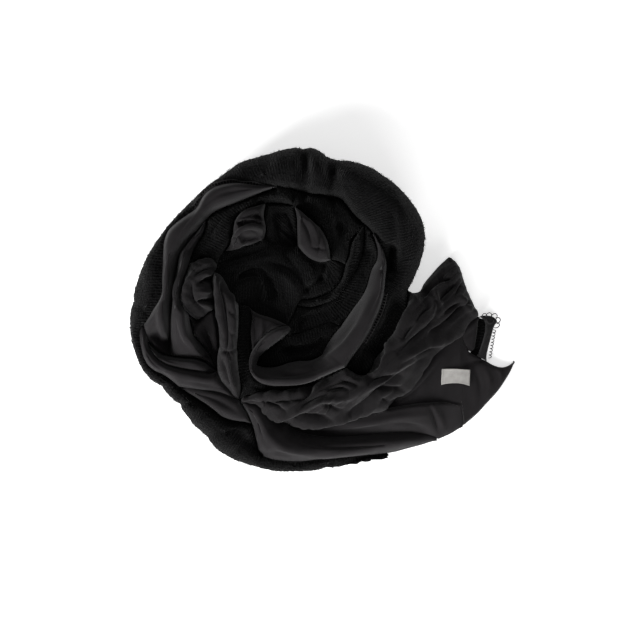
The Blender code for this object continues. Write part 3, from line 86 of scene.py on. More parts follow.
# %% Creases: height where each starts, height where it ends, places (x, y)
CREASES = {
    "coil_outline": (0, 0, [
        (408, 291), (416, 275), (421, 262), (425, 246), (425, 230), (418, 211), (402, 190),
        (382, 174), (362, 163.5), (348, 161), (336, 159.5), (320, 151), (302, 147), (284, 149),
        (262, 155), (240, 163), (215, 180), (192, 199), (171, 221), (152, 249), (140, 272),
        (134, 290), (130, 312), (130, 330), (133, 347), (139, 364), (150, 380), (168, 395),
        (184, 413), (200, 431), (216, 449), (228, 458), (242, 463), (258, 468), (278, 472),
        (300, 472), (330, 469), (360, 463), (380, 459), (397, 454)]),
    "rim_crescent": (54, 56, [(371, 231), (379, 243), (384.5, 254), (386.5, 266), (385, 279)]),
    "rim_low_turn": (48, 54, [(364, 224.5), (371, 231)]),
    "rim_right_turn": (50, 48, [
        (290, 189.5), (300, 191.5), (315, 194.5), (330, 197), (340, 199), (345, 204),
        (352, 213), (364, 224.5)]),
    "rim_left_turn": (54, 50, [(277, 188), (290, 189.5)]),
    "rim_crepe": (54, 47, [
        (277, 188), (262, 187), (248, 185), (235, 183.5), (222, 185), (213, 188.5), (206, 194),
        (201.5, 200.5), (198, 207), (188, 215), (177, 223), (169, 231), (165, 241),
        (163.5, 255), (162.5, 275), (161, 298), (154, 309), (148, 319), (144, 325)]),
    "rim_ridge": (47, 40, [
        (144, 325), (140, 332), (139.8, 341), (141.5, 350), (144.5, 359), (149, 366),
        (155, 371), (162, 374), (171, 380), (179, 387)]),
    "rim_low_flap": (40, 38, [
        (179, 387), (190, 394.5), (199, 400), (208, 405), (215, 411), (222, 417),
        (232, 420.5), (242, 422), (251.5, 424)]),
    "end_left_high": (46, 38, [(239, 400), (244, 407.5), (248, 415), (251.5, 424)]),
    "end_left_low": (38, 38, [(251.5, 424), (254.5, 434), (256.5, 444), (258, 451), (262, 456)]),
    "end_bottom": (38, 7, [
        (262, 456), (270, 459.5), (283, 462), (300, 463), (320, 461), (335, 459.5),
        (360, 457.5), (380, 456), (397, 454)]),
    "outline_roll": (5, 3, [(397, 454), (410, 450.5), (425, 446.5), (441, 441)]),
    "outline_middle": (3, 3, [(441, 441), (455, 434.5), (466, 427)]),
    "outline_panel": (3, 6, [
        (466, 427), (480, 415), (490, 404), (500, 393), (508, 381.5), (514, 371), (518, 361)]),
    "panel_top": (6, 8, [
        (518, 361), (512, 366), (505, 368), (498, 366.5), (488, 361.5), (479, 357), (471, 352)]),
    "panel_hem_band": (8, 12, [(471, 352), (466, 344), (462, 333.5)]),
    "smocked_hem_band": (12, 4, [(462, 333.5), (466, 328), (472, 322), (481, 316)]),
    "hem_band_edge": (4, 8, [(481, 316), (480, 328), (478, 342), (476, 350), (471, 352)]),
    "outline_smocked_left": (20, 3, [
        (408, 291), (415, 292.5), (421, 291), (425, 284), (433, 274), (441, 265), (451, 256)]),
    "outline_smocked_right": (4, 3, [
        (481, 316), (476, 304), (470, 291), (466, 279), (462, 267), (457, 260), (451, 256)]),
    "smocked_roll": (46, 36, [
        (239, 400), (250, 403.5), (259, 406), (265, 412), (274, 418), (284, 423)]),
    "smocked_middle": (36, 24, [
        (284, 423), (300, 427), (316, 428.5), (330, 427.5), (345, 423.5), (360, 418.5),
        (374, 413.5), (386, 409)]),
    "smocked_panel": (24, 12, [
        (386, 409), (394, 402.5), (402, 394.5), (410, 385.5), (418, 376), (426, 364.5),
        (436, 353.5), (448, 345), (462, 333.5)]),
    "hem_fold": (24, 14, [
        (386, 409), (400, 406), (415, 404), (430, 403), (446, 402.5), (462, 405)]),
    "middle_end": (14, 3, [(462, 405), (464.5, 416), (466, 427)]),
    "valley": (36, 3, [
        (284, 423), (298, 430), (316, 434.5), (345, 436.5), (370, 436), (395, 434.5),
        (415, 434.5), (430, 437), (441, 441)]),
    "smocked_strip": (44, 44, [
        (239, 400), (250, 396), (262, 393), (280, 391), (298, 389.5), (309, 386.5), (319, 381),
        (331, 375), (340, 371), (346, 367)]),
    "smocked_outer_turn": (42, 30, [
        (346, 367), (352, 371), (359, 375), (366, 375), (371, 369.5), (375, 360), (381, 352.5),
        (388, 344.5), (394, 337), (399, 327), (404, 316), (408, 304), (408, 291)]),
    "crescent_outer_turn": (50, 44, [
        (385, 279), (384, 290), (382, 300), (379, 310), (374, 321), (369.5, 331), (363, 342),
        (356, 352), (350, 360), (346, 367)]),
    "crescent_strip": (44, 46, [
        (346, 367), (335, 371.5), (325, 376), (315, 380.5), (302, 384.5), (285, 386),
        (270, 385.5), (261, 383), (254, 377.5), (249.5, 369), (249, 359), (252.5, 349)]),
    "crescent_petal": (50, 46, [(252.5, 349), (260, 339), (268, 332), (278, 327), (288, 325)]),
    "crescent_tip": (46, 42, [(288, 325), (291, 329), (288, 334)]),
    "hook_low_fold": (42, 36, [
        (288, 334), (282, 339), (274, 345), (265, 351.5), (259, 358), (257, 365)]),
    "crescent_low_fold": (36, 36, [
        (257, 365), (264, 367), (277, 366.5), (288, 363), (298, 361), (312, 360), (322, 355)]),
    "crescent_right_fold": (36, 36, [(322, 355), (327, 345), (333, 336), (340, 327)]),
    "crescent_low_turn": (36, 54, [
        (340, 327), (347, 317.5), (354, 307.5), (361, 298), (366, 289), (369, 279),
        (372, 269), (376.5, 261), (377.5, 251), (375, 241), (371, 231)]),
    "low_turn_fold": (42, 36, [
        (288, 334), (297, 334), (308, 330.5), (320, 326), (332, 323), (340, 327)]),
    "left_turn_crepe": (54, 48, [
        (277, 188), (264, 192.5), (250, 198.5), (238, 203), (226, 207.5), (214, 213),
        (207, 219)]),
    "crepe_fold": (48, 40, [
        (207, 219), (200, 228), (193, 236), (185, 246), (179, 256), (177.5, 264), (175, 278),
        (173, 294), (171.5, 308), (170.5, 320), (170.5, 333), (170, 345), (170, 356)]),
    "crepe_ridge": (47, 46, [(144, 325), (146, 333), (147.5, 340)]),
    "crepe_return": (46, 40, [(147.5, 340), (153, 347), (160, 353), (170, 356)]),
    "fold_return": (40, 42, [(170, 356), (183, 357.5), (196, 358.5), (206, 362), (217, 371)]),
    "return_ridge": (46, 42, [
        (147.5, 340), (152, 351), (158, 359), (166, 364.5), (180, 368.5), (196, 371),
        (208, 372.5), (217, 371)]),
    "ridge_turn": (42, 46, [(217, 371), (221, 380), (227, 388), (233, 395), (239, 400)]),
    "ridge_low_flap": (40, 46, [
        (179, 387), (190, 388.5), (202, 390.5), (214, 391.5), (226, 394), (239, 400)]),
    "left_turn_fold": (48, 54, [
        (207, 219), (203, 235), (197, 244), (192.5, 254), (190, 264)]),
    "fold_bun": (54, 50, [(190, 264), (186, 276), (183, 286), (182, 296), (184, 305),
                          (189.5, 314)]),
    "fold_tuck": (50, 42, [
        (189.5, 314), (191, 325), (194, 335), (201, 344), (208, 353), (213, 362), (217, 371)]),
    "left_turn_bun": (54, 54, [(190, 264), (197, 261), (206, 258)]),
    "bun_left_turn": (50, 48, [(206, 258), (213, 258.5), (218, 263)]),
    "centre_bun": (48, 48, [(218, 263), (217.5, 268), (215, 272)]),
    "bun_smocked_turn": (58, 54, [
        (215, 272), (212.5, 280), (213, 290), (214, 300), (215, 309)]),
    "bun_tuck_left": (50, 48, [(189.5, 314), (194, 318), (199, 320)]),
    "bun_tuck_right": (48, 54, [(199, 320), (207, 314), (215, 309)]),
    "smocked_turn_tuck": (54, 42, [
        (215, 309), (217.5, 320), (219.5, 335), (219, 347), (217, 358), (217, 371)]),
    "smocked_turn_centre": (48, 46, [
        (215, 272), (221, 275), (226, 282), (230, 291), (235, 299), (239, 304)]),
    "smocked_turn_strip": (48, 46, [
        (239, 304), (239.5, 315), (239, 330), (238.5, 345), (238.5, 360), (240, 375),
        (241.5, 388), (239, 400)]),
    "centre_strip": (46, 46, [(239, 304), (245, 307), (251, 309)]),
    "petal_strip": (46, 46, [
        (251, 309), (251.5, 318), (250.5, 330), (251, 340), (252.5, 349)]),
    "centre_petal": (46, 42, [(251, 309), (260, 314), (270, 317), (280, 321), (288, 325)]),
    "left_turn_right_turn": (50, 44, [(290, 189.5), (292, 197), (294, 206)]),
    "left_turn_pocket": (42, 44, [(294, 206), (280, 203.5), (266, 203.5)]),
    "left_turn_ruffle": (48, 50, [
        (266, 203.5), (252, 207.5), (241, 214), (234.5, 223), (232, 235), (230, 245),
        (225, 251.5)]),
    "left_turn_centre": (46, 48, [(225, 251.5), (221, 257), (218, 263)]),
    "ruffle_centre": (44, 40, [
        (225, 251.5), (234, 250.5), (243, 247.5), (254, 244.5), (264, 240)]),
    "ruffle_pocket": (38, 44, [(264, 240), (266, 228), (264, 216), (266, 203.5)]),
    "pocket_petal": (40, 36, [(294, 206), (296.5, 216), (297, 230), (297.5, 246)]),
    "pocket_centre": (36, 38, [(297.5, 246), (285, 246.5), (275, 243.5), (264, 240)]),
    "bright_petal_centre": (36, 38, [
        (297.5, 246), (303, 253), (311, 259.5), (320, 262.5), (331, 260)]),
    "bright_petal_turn": (44, 42, [
        (294, 206), (302, 211.5), (311, 220.5), (320, 227.5), (326.5, 238), (330, 250),
        (331, 260)]),
    "right_turn_pleat": (42, 38, [(331, 260), (338, 262), (345, 264)]),
    "right_turn_fold": (38, 48, [
        (345, 264), (348, 256), (349.5, 246), (353, 238), (359, 231), (364, 224.5)]),
    "fold_low_turn": (48, 38, [
        (364, 224.5), (364, 236), (363, 250), (359.5, 264), (353, 277), (346, 288),
        (338, 297), (326, 303), (313, 307), (297, 306)]),
    "fold_pleat": (38, 38, [
        (345, 264), (343.5, 273), (340, 282), (334, 289), (325, 294.5), (312, 299),
        (300, 300)]),
    "centre_fold": (38, 38, [(300, 300), (297, 306)]),
    "centre_low_turn": (36, 42, [(297, 306), (293.5, 315), (288, 325)]),
    "trim_inner": (4, 6, [
        (482, 316.2), (487, 322), (487.5, 330), (485, 341), (482, 350), (479.7, 357)]),
    "trim_outer": (4, 6, [
        (482, 316.2), (490, 315.4), (497, 317.5), (500, 321), (497, 326.5), (494, 337),
        (490.5, 350), (488.3, 361.3)]),
}

# %% Open creases, where both cloths turn down into a dark gap, and how much deeper they are
OPEN_CREASES = {
    "smocked_outer_turn": 12, "crescent_low_turn": 6, "crescent_right_fold": 4,
    "crescent_low_fold": 4, "rim_right_turn": 10, "rim_low_turn": 8, "rim_crescent": 8,
    "left_turn_crepe": 16, "crepe_return": 12, "fold_return": 12, "fold_tuck": 12,
    "smocked_turn_tuck": 10, "fold_bun": 8, "left_turn_bun": 10, "bun_smocked_turn": 10,
    "smocked_turn_strip": 8, "ruffle_pocket": 6, "pocket_petal": 6, "left_turn_pocket": 8,
    "bright_petal_turn": 8, "left_turn_ruffle": 8, "fold_low_turn": 6, "right_turn_fold": 6,
    "end_left_high": 8, "end_left_low": 10, "rim_low_flap": 6, "smocked_strip": 4,
    "low_turn_fold": 6, "centre_low_turn": 6, "fold_pleat": 4, "hook_low_fold": 4,
    "bun_tuck_left": 6, "bun_tuck_right": 6, "left_turn_fold": 8, "crepe_fold": 8}
LOWEST_OPEN = 27.0

# %% [markdown]
# ## The stretches of cloth
#
# A stretch is read as sections from its left crease to its right one. Each section gives the
# height of the cloth at its left, middle and right, and two rolls say how wide the cloth takes
# to turn down into each crease. A wide roll is a soft fold and a narrow one is a crisp edge.

# %% Stretches: creases left and right, rolls, and sections along the stretch
STRETCHES = {
    "boucle_outer_turn": (
        "boucle", ["coil_outline"],
        ["-rim_crescent", "-rim_low_turn", "-rim_right_turn", "-rim_left_turn", "rim_crepe",
         "rim_ridge", "rim_low_flap", "end_left_low", "end_bottom"],
        (22, 7), [
            (408, 291, 385, 279, 60, 62, 60),
            (425, 246, 386, 262, 64, 68, 64),
            (424, 222, 371, 231, 66, 73, 68),
            (402, 190, 352, 213, 68, 76, 68),
            (362, 163.5, 335, 198, 68, 76, 68),
            (320, 151, 310, 193.5, 68, 76, 66),
            (284, 149, 290, 189.5, 68, 76, 66),
            (250, 159, 262, 187, 66, 70, 66),
            (215, 180, 222, 185, 60, 62, 60),
            (203, 190, 206, 194, 58, 60, 58),
            (192, 199, 198, 207, 58, 60, 58),
            (171, 221, 177, 223, 58, 60, 60),
            (152, 249, 164, 250, 58, 62, 62),
            (134, 290, 161.5, 290, 60, 64, 62),
            (130, 312, 152, 312, 58, 62, 58),
            (130, 330, 140, 332, 54, 56, 52),
            (139, 364, 146, 362, 48, 49, 46),
            (150, 380, 158, 372, 48, 50, 46),
            (168, 395, 176, 384, 48, 52, 46),
            (200, 431, 213, 409, 50, 54, 44),
            (228, 458, 251.5, 424, 50, 53, 42),
            (242, 463, 256, 441, 48, 50, 42),
            (262, 469, 265, 458, 44, 44, 41),
            (300, 472, 300, 463, 42, 42, 40),
            (330, 469, 331, 460, 34, 34, 33),
            (360, 463, 360, 457.5, 22, 22, 22),
            (397, 454, 397, 454, 9, 9, 9)]),
    "boucle_right_turn": (
        "boucle", ["smocked_outer_turn"], ["-crescent_outer_turn"], (13, 5), [
            (346, 367, 346, 367, 50, 50, 50),
            (366, 375, 357, 351, 46, 50, 54),
            (375, 360, 363, 342, 44, 50, 56),
            (388, 346, 370, 330, 42, 50, 57),
            (399, 327, 379, 310, 42, 51, 58),
            (408, 304, 384, 290, 44, 55, 59),
            (408, 291, 385, 279, 56, 62, 60)]),
    "crepe_left_turn": (
        "crepe", ["rim_crepe", "crepe_ridge", "crepe_return"],
        ["left_turn_crepe", "crepe_fold"], (5, 7), [
            (277, 188, 277, 188, 60, 60, 60),
            (248, 185, 250, 198.5, 70, 74, 70),
            (222, 185, 226, 207.5, 72, 80, 74),
            (206, 194, 217, 211.5, 74, 80, 74),
            (198, 207, 209, 217, 74, 80, 74),
            (188, 215, 200, 228, 74, 81, 76),
            (169, 231, 185, 246, 74, 83, 78),
            (163.5, 255, 179, 256, 74, 84, 80),
            (162.5, 275, 175, 278, 74, 84, 80),
            (161, 298, 172.5, 298, 72, 82, 80),
            (148, 319, 170.5, 320, 64, 74, 76),
            (146, 333, 170.5, 333, 58, 62, 60),
            (153, 347, 170, 345, 50, 52, 50),
            (170, 356, 170, 356, 42, 42, 42)]),
    "crepe_left_fold": (
        "crepe", ["crepe_fold", "fold_return"], ["left_turn_fold", "fold_bun", "fold_tuck"],
        (6, 6), [
            (207, 219, 207, 219, 56, 56, 56),
            (193, 236, 202, 236, 64, 70, 68),
            (179, 256, 192.5, 254, 72, 78, 74),
            (175, 278, 186, 276, 76, 84, 80),
            (173, 294, 182, 296, 78, 86, 82),
            (171.5, 308, 185, 307, 78, 86, 80),
            (170.5, 320, 190.5, 322, 74, 82, 74),
            (170.5, 333, 194, 335, 64, 76, 70),
            (170, 345, 201, 344, 52, 68, 66),
            (183, 357.5, 208, 353, 46, 58, 60),
            (206, 362, 213, 362, 48, 52, 52),
            (217, 371, 217, 371, 46, 46, 46)]),
    "crepe_return": (
        "crepe", ["crepe_return", "fold_return"], ["return_ridge"], (3, 3), [
            (147.5, 340, 147.5, 340, 48, 48, 48),
            (160, 353, 158, 359, 56, 60, 58),
            (183, 357.5, 181, 368.5, 60, 66, 62),
            (200, 359.5, 200, 371.5, 60, 66, 62),
            (217, 371, 217, 371, 48, 48, 48)]),
    "crepe_bright_ridge": (
        "crepe", ["crepe_ridge", "return_ridge", "ridge_turn"], ["rim_ridge", "ridge_low_flap"],
        (4, 4), [
            (144, 325, 144, 325, 50, 50, 50),
            (147.5, 340, 139.8, 341, 54, 58, 52),
            (152, 351, 143, 355, 54, 60, 54),
            (166, 364.5, 157, 372, 56, 64, 56),
            (180, 368.5, 176, 384, 58, 66, 56),
            (208, 372.5, 205, 391, 58, 66, 58),
            (224, 384, 222, 393, 56, 60, 56),
            (239, 400, 239, 400, 50, 50, 50)]),
    "crepe_low_flap": (
        "crepe", ["ridge_low_flap", "end_left_high"], ["rim_low_flap"], (3, 4), [
            (179, 387, 179, 387, 42, 42, 42),
            (202, 390.5, 200, 400.5, 54, 57, 54),
            (222, 393, 218, 414, 56, 60, 54),
            (239, 400, 232, 420.5, 54, 58, 50),
            (248, 415, 244, 422.5, 46, 48, 44),
            (251.5, 424, 251.5, 424, 40, 40, 40)]),
    "crepe_edge_roll": (
        "crepe", ["smocked_roll", "valley"],
        ["end_left_high", "end_left_low", "end_bottom", "outline_roll"], (8, 9), [
            (239, 400, 239, 400, 48, 48, 48),
            (250, 403.5, 247, 413, 54, 58, 54),
            (262, 409, 254, 432, 52, 60, 52),
            (274, 418, 258, 451, 46, 61, 49),
            (290, 426.5, 272, 460, 42, 60, 47),
            (316, 434.5, 310, 462, 38, 57, 44),
            (345, 436.5, 345, 458.5, 33, 49, 37),
            (370, 436, 375, 456.3, 28, 38, 26),
            (400, 434.5, 405, 452, 22, 27, 17),
            (425, 435.7, 425, 446.5, 12, 13, 10),
            (441, 441, 441, 441, 5, 5, 5)]),
    "crepe_end_fold": (
        "crepe", ["smocked_middle", "hem_fold", "middle_end"], ["valley", "outline_middle"],
        (4, 8), [
            (284, 423, 284, 423, 38, 38, 38),
            (316, 428.5, 316, 434.5, 40, 38, 34),
            (345, 423.5, 345, 436.5, 42, 40, 32),
            (374, 413.5, 376, 436, 38, 37, 28),
            (400, 406, 404, 434.5, 34, 32, 22),
            (430, 403, 430, 437, 28, 24, 12),
            (450, 402.7, 441, 441, 20, 15, 8),
            (462, 405, 454, 435, 16, 11, 6),
            (466, 427, 466, 427, 4, 4, 4)]),
    "crepe_end_panel": (
        "crepe", ["smocked_panel", "-panel_hem_band", "-panel_top"],
        ["hem_fold", "middle_end", "outline_panel"], (4, 4), [
            (386, 409, 386, 409, 26, 26, 26),
            (402, 394.5, 404, 405, 27, 27, 26),
            (418, 376, 420, 403.5, 24, 24, 22),
            (436, 353.5, 438, 402.7, 20, 21, 18),
            (462, 333.5, 462, 405, 15, 17, 14),
            (471, 352, 466, 427, 12, 14, 10),
            (490, 363, 482, 413, 10, 12, 9),
            (500, 367, 494, 400, 9.5, 11, 8),
            (508, 367.5, 506, 384, 9, 10, 8),
            (518, 361, 518, 361, 9, 9, 9)]),
    "crepe_hem_band": (
        "crepe", ["-smocked_hem_band", "-panel_hem_band"], ["hem_band_edge"], (3, 3), [
            (481, 316, 481, 316, 6, 6, 6),
            (470, 324, 480.3, 325, 12, 13, 11),
            (462, 333.5, 479.5, 333, 14, 14, 10),
            (466, 344, 478, 342, 13, 12, 9),
            (471, 352, 471, 352, 9, 9, 9)]),
    "loop_trim": (
        "trim", ["trim_inner"], ["trim_outer"], (2, 2), [
            (482, 316.2, 482, 316.2, 8, 8, 8),
            (487, 322, 498, 319, 9, 10, 9),
            (487.5, 330, 496, 330, 10, 11, 10),
            (485, 341, 493, 341, 10, 11, 10),
            (479.7, 357, 488.3, 361.3, 9, 10, 9)]),
    "smocked_end": (
        "smocked crepe", ["smocked_strip", "smocked_outer_turn", "outline_smocked_left"],
        ["smocked_roll", "smocked_middle", "smocked_panel", "smocked_hem_band",
         "outline_smocked_right"],
        (7, 6), [
            (239, 400, 239, 400, 50, 50, 50),
            (262, 393, 259, 406, 62, 66, 58),
            (280, 391, 277, 420, 64, 69, 54),
            (298, 389.5, 300, 427, 65, 70, 52),
            (319, 381, 322, 428.5, 66, 69, 48),
            (346, 367, 350, 422, 66, 68, 44),
            (366, 375, 374, 413.5, 63, 64, 42),
            (375, 360, 394, 402.5, 61, 62, 38),
            (388, 346, 410, 385.5, 58, 60, 34),
            (399, 327, 426, 364.5, 54, 56, 28),
            (408, 304, 448, 345, 44, 48, 22),
            (421, 291, 464, 331, 28, 38, 20),
            (433, 274, 478, 318, 20, 30, 15),
            (441, 265, 470, 291, 16, 24, 13),
            (451, 256, 451, 256, 8, 8, 8)]),
    "smocked_turn": (
        "smocked crepe",
        ["bun_smocked_turn", "smocked_turn_tuck", "ridge_turn"],
        ["smocked_turn_centre", "smocked_turn_strip"], (5, 5), [
            (215, 272, 215, 272, 64, 64, 64),
            (212.5, 280, 226, 282, 78, 82, 76),
            (214, 300, 236, 300.5, 82, 87, 80),
            (217.5, 320, 239.3, 320, 82, 89, 82),
            (219.5, 335, 239, 335, 80, 88, 82),
            (217, 358, 238.5, 358, 76, 84, 78),
            (221, 380, 240.5, 379, 66, 74, 68),
            (233, 395, 241, 392, 54, 58, 54),
            (239, 400, 239, 400, 48, 48, 48)]),
    "seam_strip": (
        "boucle", ["smocked_turn_strip", "smocked_strip"],
        ["centre_strip", "petal_strip", "-crescent_strip"], (3, 3), [
            (239, 304, 239, 304, 51, 51, 51),
            (239.5, 315, 251.3, 315, 55, 55, 53),
            (239, 330, 250.5, 330, 55, 55, 53),
            (238.5, 345, 251.5, 345, 55, 54, 52),
            (238.5, 360, 249, 359, 54, 54, 52),
            (240, 375, 250, 371, 53, 53, 51),
            (241, 396, 255.5, 379, 52, 53, 51),
            (262, 393, 262, 383.5, 53, 53, 51),
            (280, 391, 280, 386, 53, 53, 52),
            (298, 389.5, 300, 385, 53, 53, 52),
            (319, 381, 317, 379.7, 53, 53, 52),
            (331, 375, 330, 373.7, 54, 54, 54),
            (346, 367, 346, 367, 50, 50, 50)]),
    "crepe_crescent": (
        "crepe", ["rim_crescent", "crescent_outer_turn", "crescent_strip", "crescent_petal"],
        ["-crescent_low_turn", "-crescent_right_fold", "-crescent_low_fold", "-hook_low_fold",
         "-crescent_tip"], (5, 9), [
            (371, 231, 371, 231, 62, 62, 62),
            (384.5, 254, 377.5, 251, 70, 70, 66),
            (386.5, 266, 376.5, 261, 76, 74, 66),
            (384, 290, 366, 289, 82, 76, 62),
            (379, 310, 357, 303, 84, 76, 58),
            (369.5, 331, 343, 323, 84, 74, 54),
            (356, 352, 330, 341, 83, 72, 50),
            (335, 371.5, 321, 355.5, 82, 73, 52),
            (302, 384.5, 298, 361, 80, 73, 56),
            (270, 385.5, 270, 367.3, 78, 71, 56),
            (254, 377.5, 258.5, 366, 76, 70, 56),
            (249.5, 364, 257, 363, 74, 70, 56),
            (252.5, 349, 262.5, 354, 72, 70, 58),
            (268, 332, 276, 343.5, 72, 70, 60),
            (280, 326.5, 287, 335, 68, 68, 60),
            (288, 325, 288, 325, 52, 52, 52)]),
    "crepe_small_petal": (
        "crepe", ["centre_petal"], ["petal_strip", "crescent_petal"], (4, 4), [
            (251, 309, 251, 309, 56, 56, 56),
            (257, 312.5, 251, 322, 62, 64, 64),
            (262, 314.7, 251, 340, 62, 66, 66),
            (270, 317, 258, 341.5, 62, 66, 64),
            (279, 320.6, 270, 331, 58, 62, 58),
            (288, 325, 288, 325, 50, 50, 50)]),
    "boucle_centre": (
        "boucle",
        ["-left_turn_centre", "ruffle_centre", "-pocket_centre", "bright_petal_centre"],
        ["centre_bun", "smocked_turn_centre", "centre_strip", "centre_petal",
         "-centre_low_turn", "-centre_fold", "-fold_pleat"], (5, 5), [
            (218, 263, 218, 263, 52, 52, 52),
            (225, 251.5, 221, 275, 50, 52, 52),
            (234, 250.5, 230, 291, 50, 52, 52),
            (243, 247.5, 239, 304, 50, 53, 51),
            (254, 244.5, 251, 309, 50, 53, 50),
            (264, 240, 270, 317, 48, 53, 49),
            (280, 245.3, 287, 324.5, 48, 52, 47),
            (297.5, 246, 300, 300, 48, 51, 43),
            (305, 255, 312, 299, 47, 50, 42),
            (315, 261.3, 325, 294.5, 46, 47, 42),
            (322, 262.6, 334, 289, 45, 46, 42),
            (327, 261.6, 342, 278, 44, 45, 42),
            (331, 260, 345, 264, 46, 45, 42)]),
    "crepe_bright_petal": (
        "crepe", ["pocket_petal", "bright_petal_centre"], ["bright_petal_turn"], (4, 4), [
            (294, 206, 294, 206, 52, 52, 52),
            (296.5, 216, 302, 211.5, 66, 66, 64),
            (297, 230, 315, 224, 74, 74, 70),
            (298.5, 247.5, 326.5, 238, 74, 76, 70),
            (311, 259.5, 330, 250, 68, 72, 66),
            (331, 260, 331, 260, 50, 50, 50)]),
    "crepe_ruffle": (
        "crepe", ["left_turn_ruffle"], ["-ruffle_pocket", "-ruffle_centre"], (4, 5), [
            (266, 203.5, 266, 203.5, 54, 54, 54),
            (252, 207.5, 264.5, 216, 64, 68, 62),
            (241, 214, 266, 228, 68, 74, 60),
            (234.5, 223, 264, 240, 70, 74, 54),
            (232, 235, 249, 246, 68, 72, 58),
            (230, 245, 236, 250, 60, 60, 56),
            (225, 251.5, 225, 251.5, 54, 54, 54)]),
    "boucle_pocket": (
        "boucle", ["left_turn_pocket", "-ruffle_pocket"], ["pocket_petal", "pocket_centre"],
        (5, 5), [
            (294, 206, 294, 206, 48, 48, 48),
            (280, 203.5, 296.5, 216, 50, 47, 44),
            (266, 203.5, 297, 232, 50, 44, 41),
            (264.5, 216, 292, 246.3, 48, 43, 41),
            (266, 228, 275, 243.5, 45, 42, 42),
            (264, 240, 264, 240, 42, 42, 42)]),
    "boucle_left_turn": (
        "boucle", ["-rim_left_turn", "left_turn_crepe", "left_turn_fold"],
        ["left_turn_right_turn", "left_turn_pocket", "left_turn_ruffle", "left_turn_centre",
         "-bun_left_turn", "-left_turn_bun"], (6, 6), [
            (290, 189.5, 290, 189.5, 54, 54, 54),
            (277, 188, 282, 203.7, 62, 63, 58),
            (250, 198.5, 255, 206.5, 60, 62, 60),
            (226, 207.5, 237, 219, 60, 64, 62),
            (207, 219, 232, 235, 60, 66, 64),
            (203, 235, 229, 247, 62, 66, 64),
            (197, 244, 221, 257, 62, 65, 62),
            (193.5, 251.5, 213, 258.5, 62, 63, 60),
            (192.2, 255, 206, 258, 60, 61, 60),
            (190.8, 260, 198, 260.7, 59, 60, 59),
            (190, 264, 190, 264, 58, 58, 58)]),
    "smocked_bun": (
        "smocked crepe", ["-left_turn_bun", "fold_bun", "bun_tuck_left"],
        ["bun_left_turn", "centre_bun", "bun_smocked_turn", "-bun_tuck_right"], (5, 5), [
            (206, 258, 206, 258, 62, 62, 62),
            (190, 264, 217, 262, 70, 74, 66),
            (186, 276, 213.5, 277, 76, 80, 74),
            (182, 292, 213, 290, 78, 82, 76),
            (184, 305, 214.7, 306, 76, 80, 72),
            (189.5, 314, 215, 309, 66, 70, 64),
            (199, 320, 199, 320, 52, 52, 52)]),
    "crepe_tuck": (
        "crepe", ["fold_tuck"], ["bun_tuck_left", "bun_tuck_right", "smocked_turn_tuck"],
        (5, 5), [
            (189.5, 314, 189.5, 314, 52, 52, 52),
            (190.6, 322, 199, 320, 52, 52, 51),
            (192, 330, 201, 318.6, 53, 54, 53),
            (193.5, 334, 207, 314.3, 54, 56, 56),
            (195.5, 337, 215, 309, 53, 56, 56),
            (198, 341, 218, 323, 51, 54, 54),
            (201, 344, 219.5, 335, 50, 52, 52),
            (208, 353, 218.7, 350, 48, 50, 50),
            (217, 371, 217, 371, 44, 44, 44)]),
    "boucle_inner_turn": (
        "boucle", ["rim_right_turn"],
        ["left_turn_right_turn", "bright_petal_turn", "right_turn_pleat", "right_turn_fold"],
        (6, 5), [
            (290, 189.5, 290, 189.5, 54, 54, 54),
            (300, 191.5, 294, 206, 56, 55, 51),
            (315, 194.5, 311, 220.5, 54, 57, 51),
            (330, 197, 326.5, 238, 53, 57, 50),
            (340, 199, 331, 259, 52, 56, 49),
            (348, 208, 345, 264, 51, 55, 48),
            (353, 214, 349.5, 246, 51, 54, 50),
            (359, 220, 353, 238, 51, 53, 51),
            (364, 224.5, 364, 224.5, 50, 50, 50)]),
    "boucle_inner_fold": (
        "boucle", ["fold_low_turn"], ["-right_turn_fold", "fold_pleat", "centre_fold"],
        (4, 4), [
            (364, 224.5, 364, 224.5, 52, 52, 52),
            (364, 238, 352, 240, 52, 56, 52),
            (362, 254, 347, 260, 50, 55, 50),
            (355, 273, 343.5, 273, 46, 52, 48),
            (346, 288, 338, 285, 44, 50, 46),
            (330, 301.5, 325, 294.5, 42, 46, 44),
            (313, 307, 308, 299.5, 42, 45, 42),
            (297, 306, 297, 306, 40, 40, 40)]),
    "boucle_low_turn": (
        "boucle",
        ["rim_low_turn", "-crescent_low_turn", "-low_turn_fold", "-crescent_tip"],
        ["fold_low_turn", "centre_low_turn"], (4, 4), [
            (364, 224.5, 364, 224.5, 51, 51, 51),
            (375, 241, 364, 238, 54, 52, 48),
            (376.5, 261, 360.5, 261, 50, 48, 44),
            (368, 284, 350, 282, 46, 44, 42),
            (356, 305, 338, 297, 42, 42, 40),
            (343, 323, 326, 303, 40, 41, 40),
            (320, 326, 313, 307, 39, 41, 41),
            (304, 332, 298, 306, 40, 42, 42),
            (290.5, 331, 294, 316, 44, 44, 43),
            (288, 325, 288, 325, 48, 48, 48)]),
    "boucle_low_fold": (
        "boucle", ["-hook_low_fold", "low_turn_fold"],
        ["crescent_low_fold", "crescent_right_fold"], (4, 4), [
            (257, 365, 257, 365, 38, 38, 38),
            (266, 350.5, 268, 367, 42, 44, 40),
            (282, 339, 288, 363, 42, 46, 40),
            (297, 334, 303, 361, 42, 46, 40),
            (314, 328, 319, 357, 42, 45, 38),
            (327, 324, 328, 343, 40, 42, 38),
            (340, 327, 340, 327, 38, 38, 38)]),
}

# %% [markdown]
# ## The hidden turns
#
# Under the stretches that show lie more turns that nobody sees, apart from their edges low on
# the outside. Their heights come from a few places, blended smoothly.

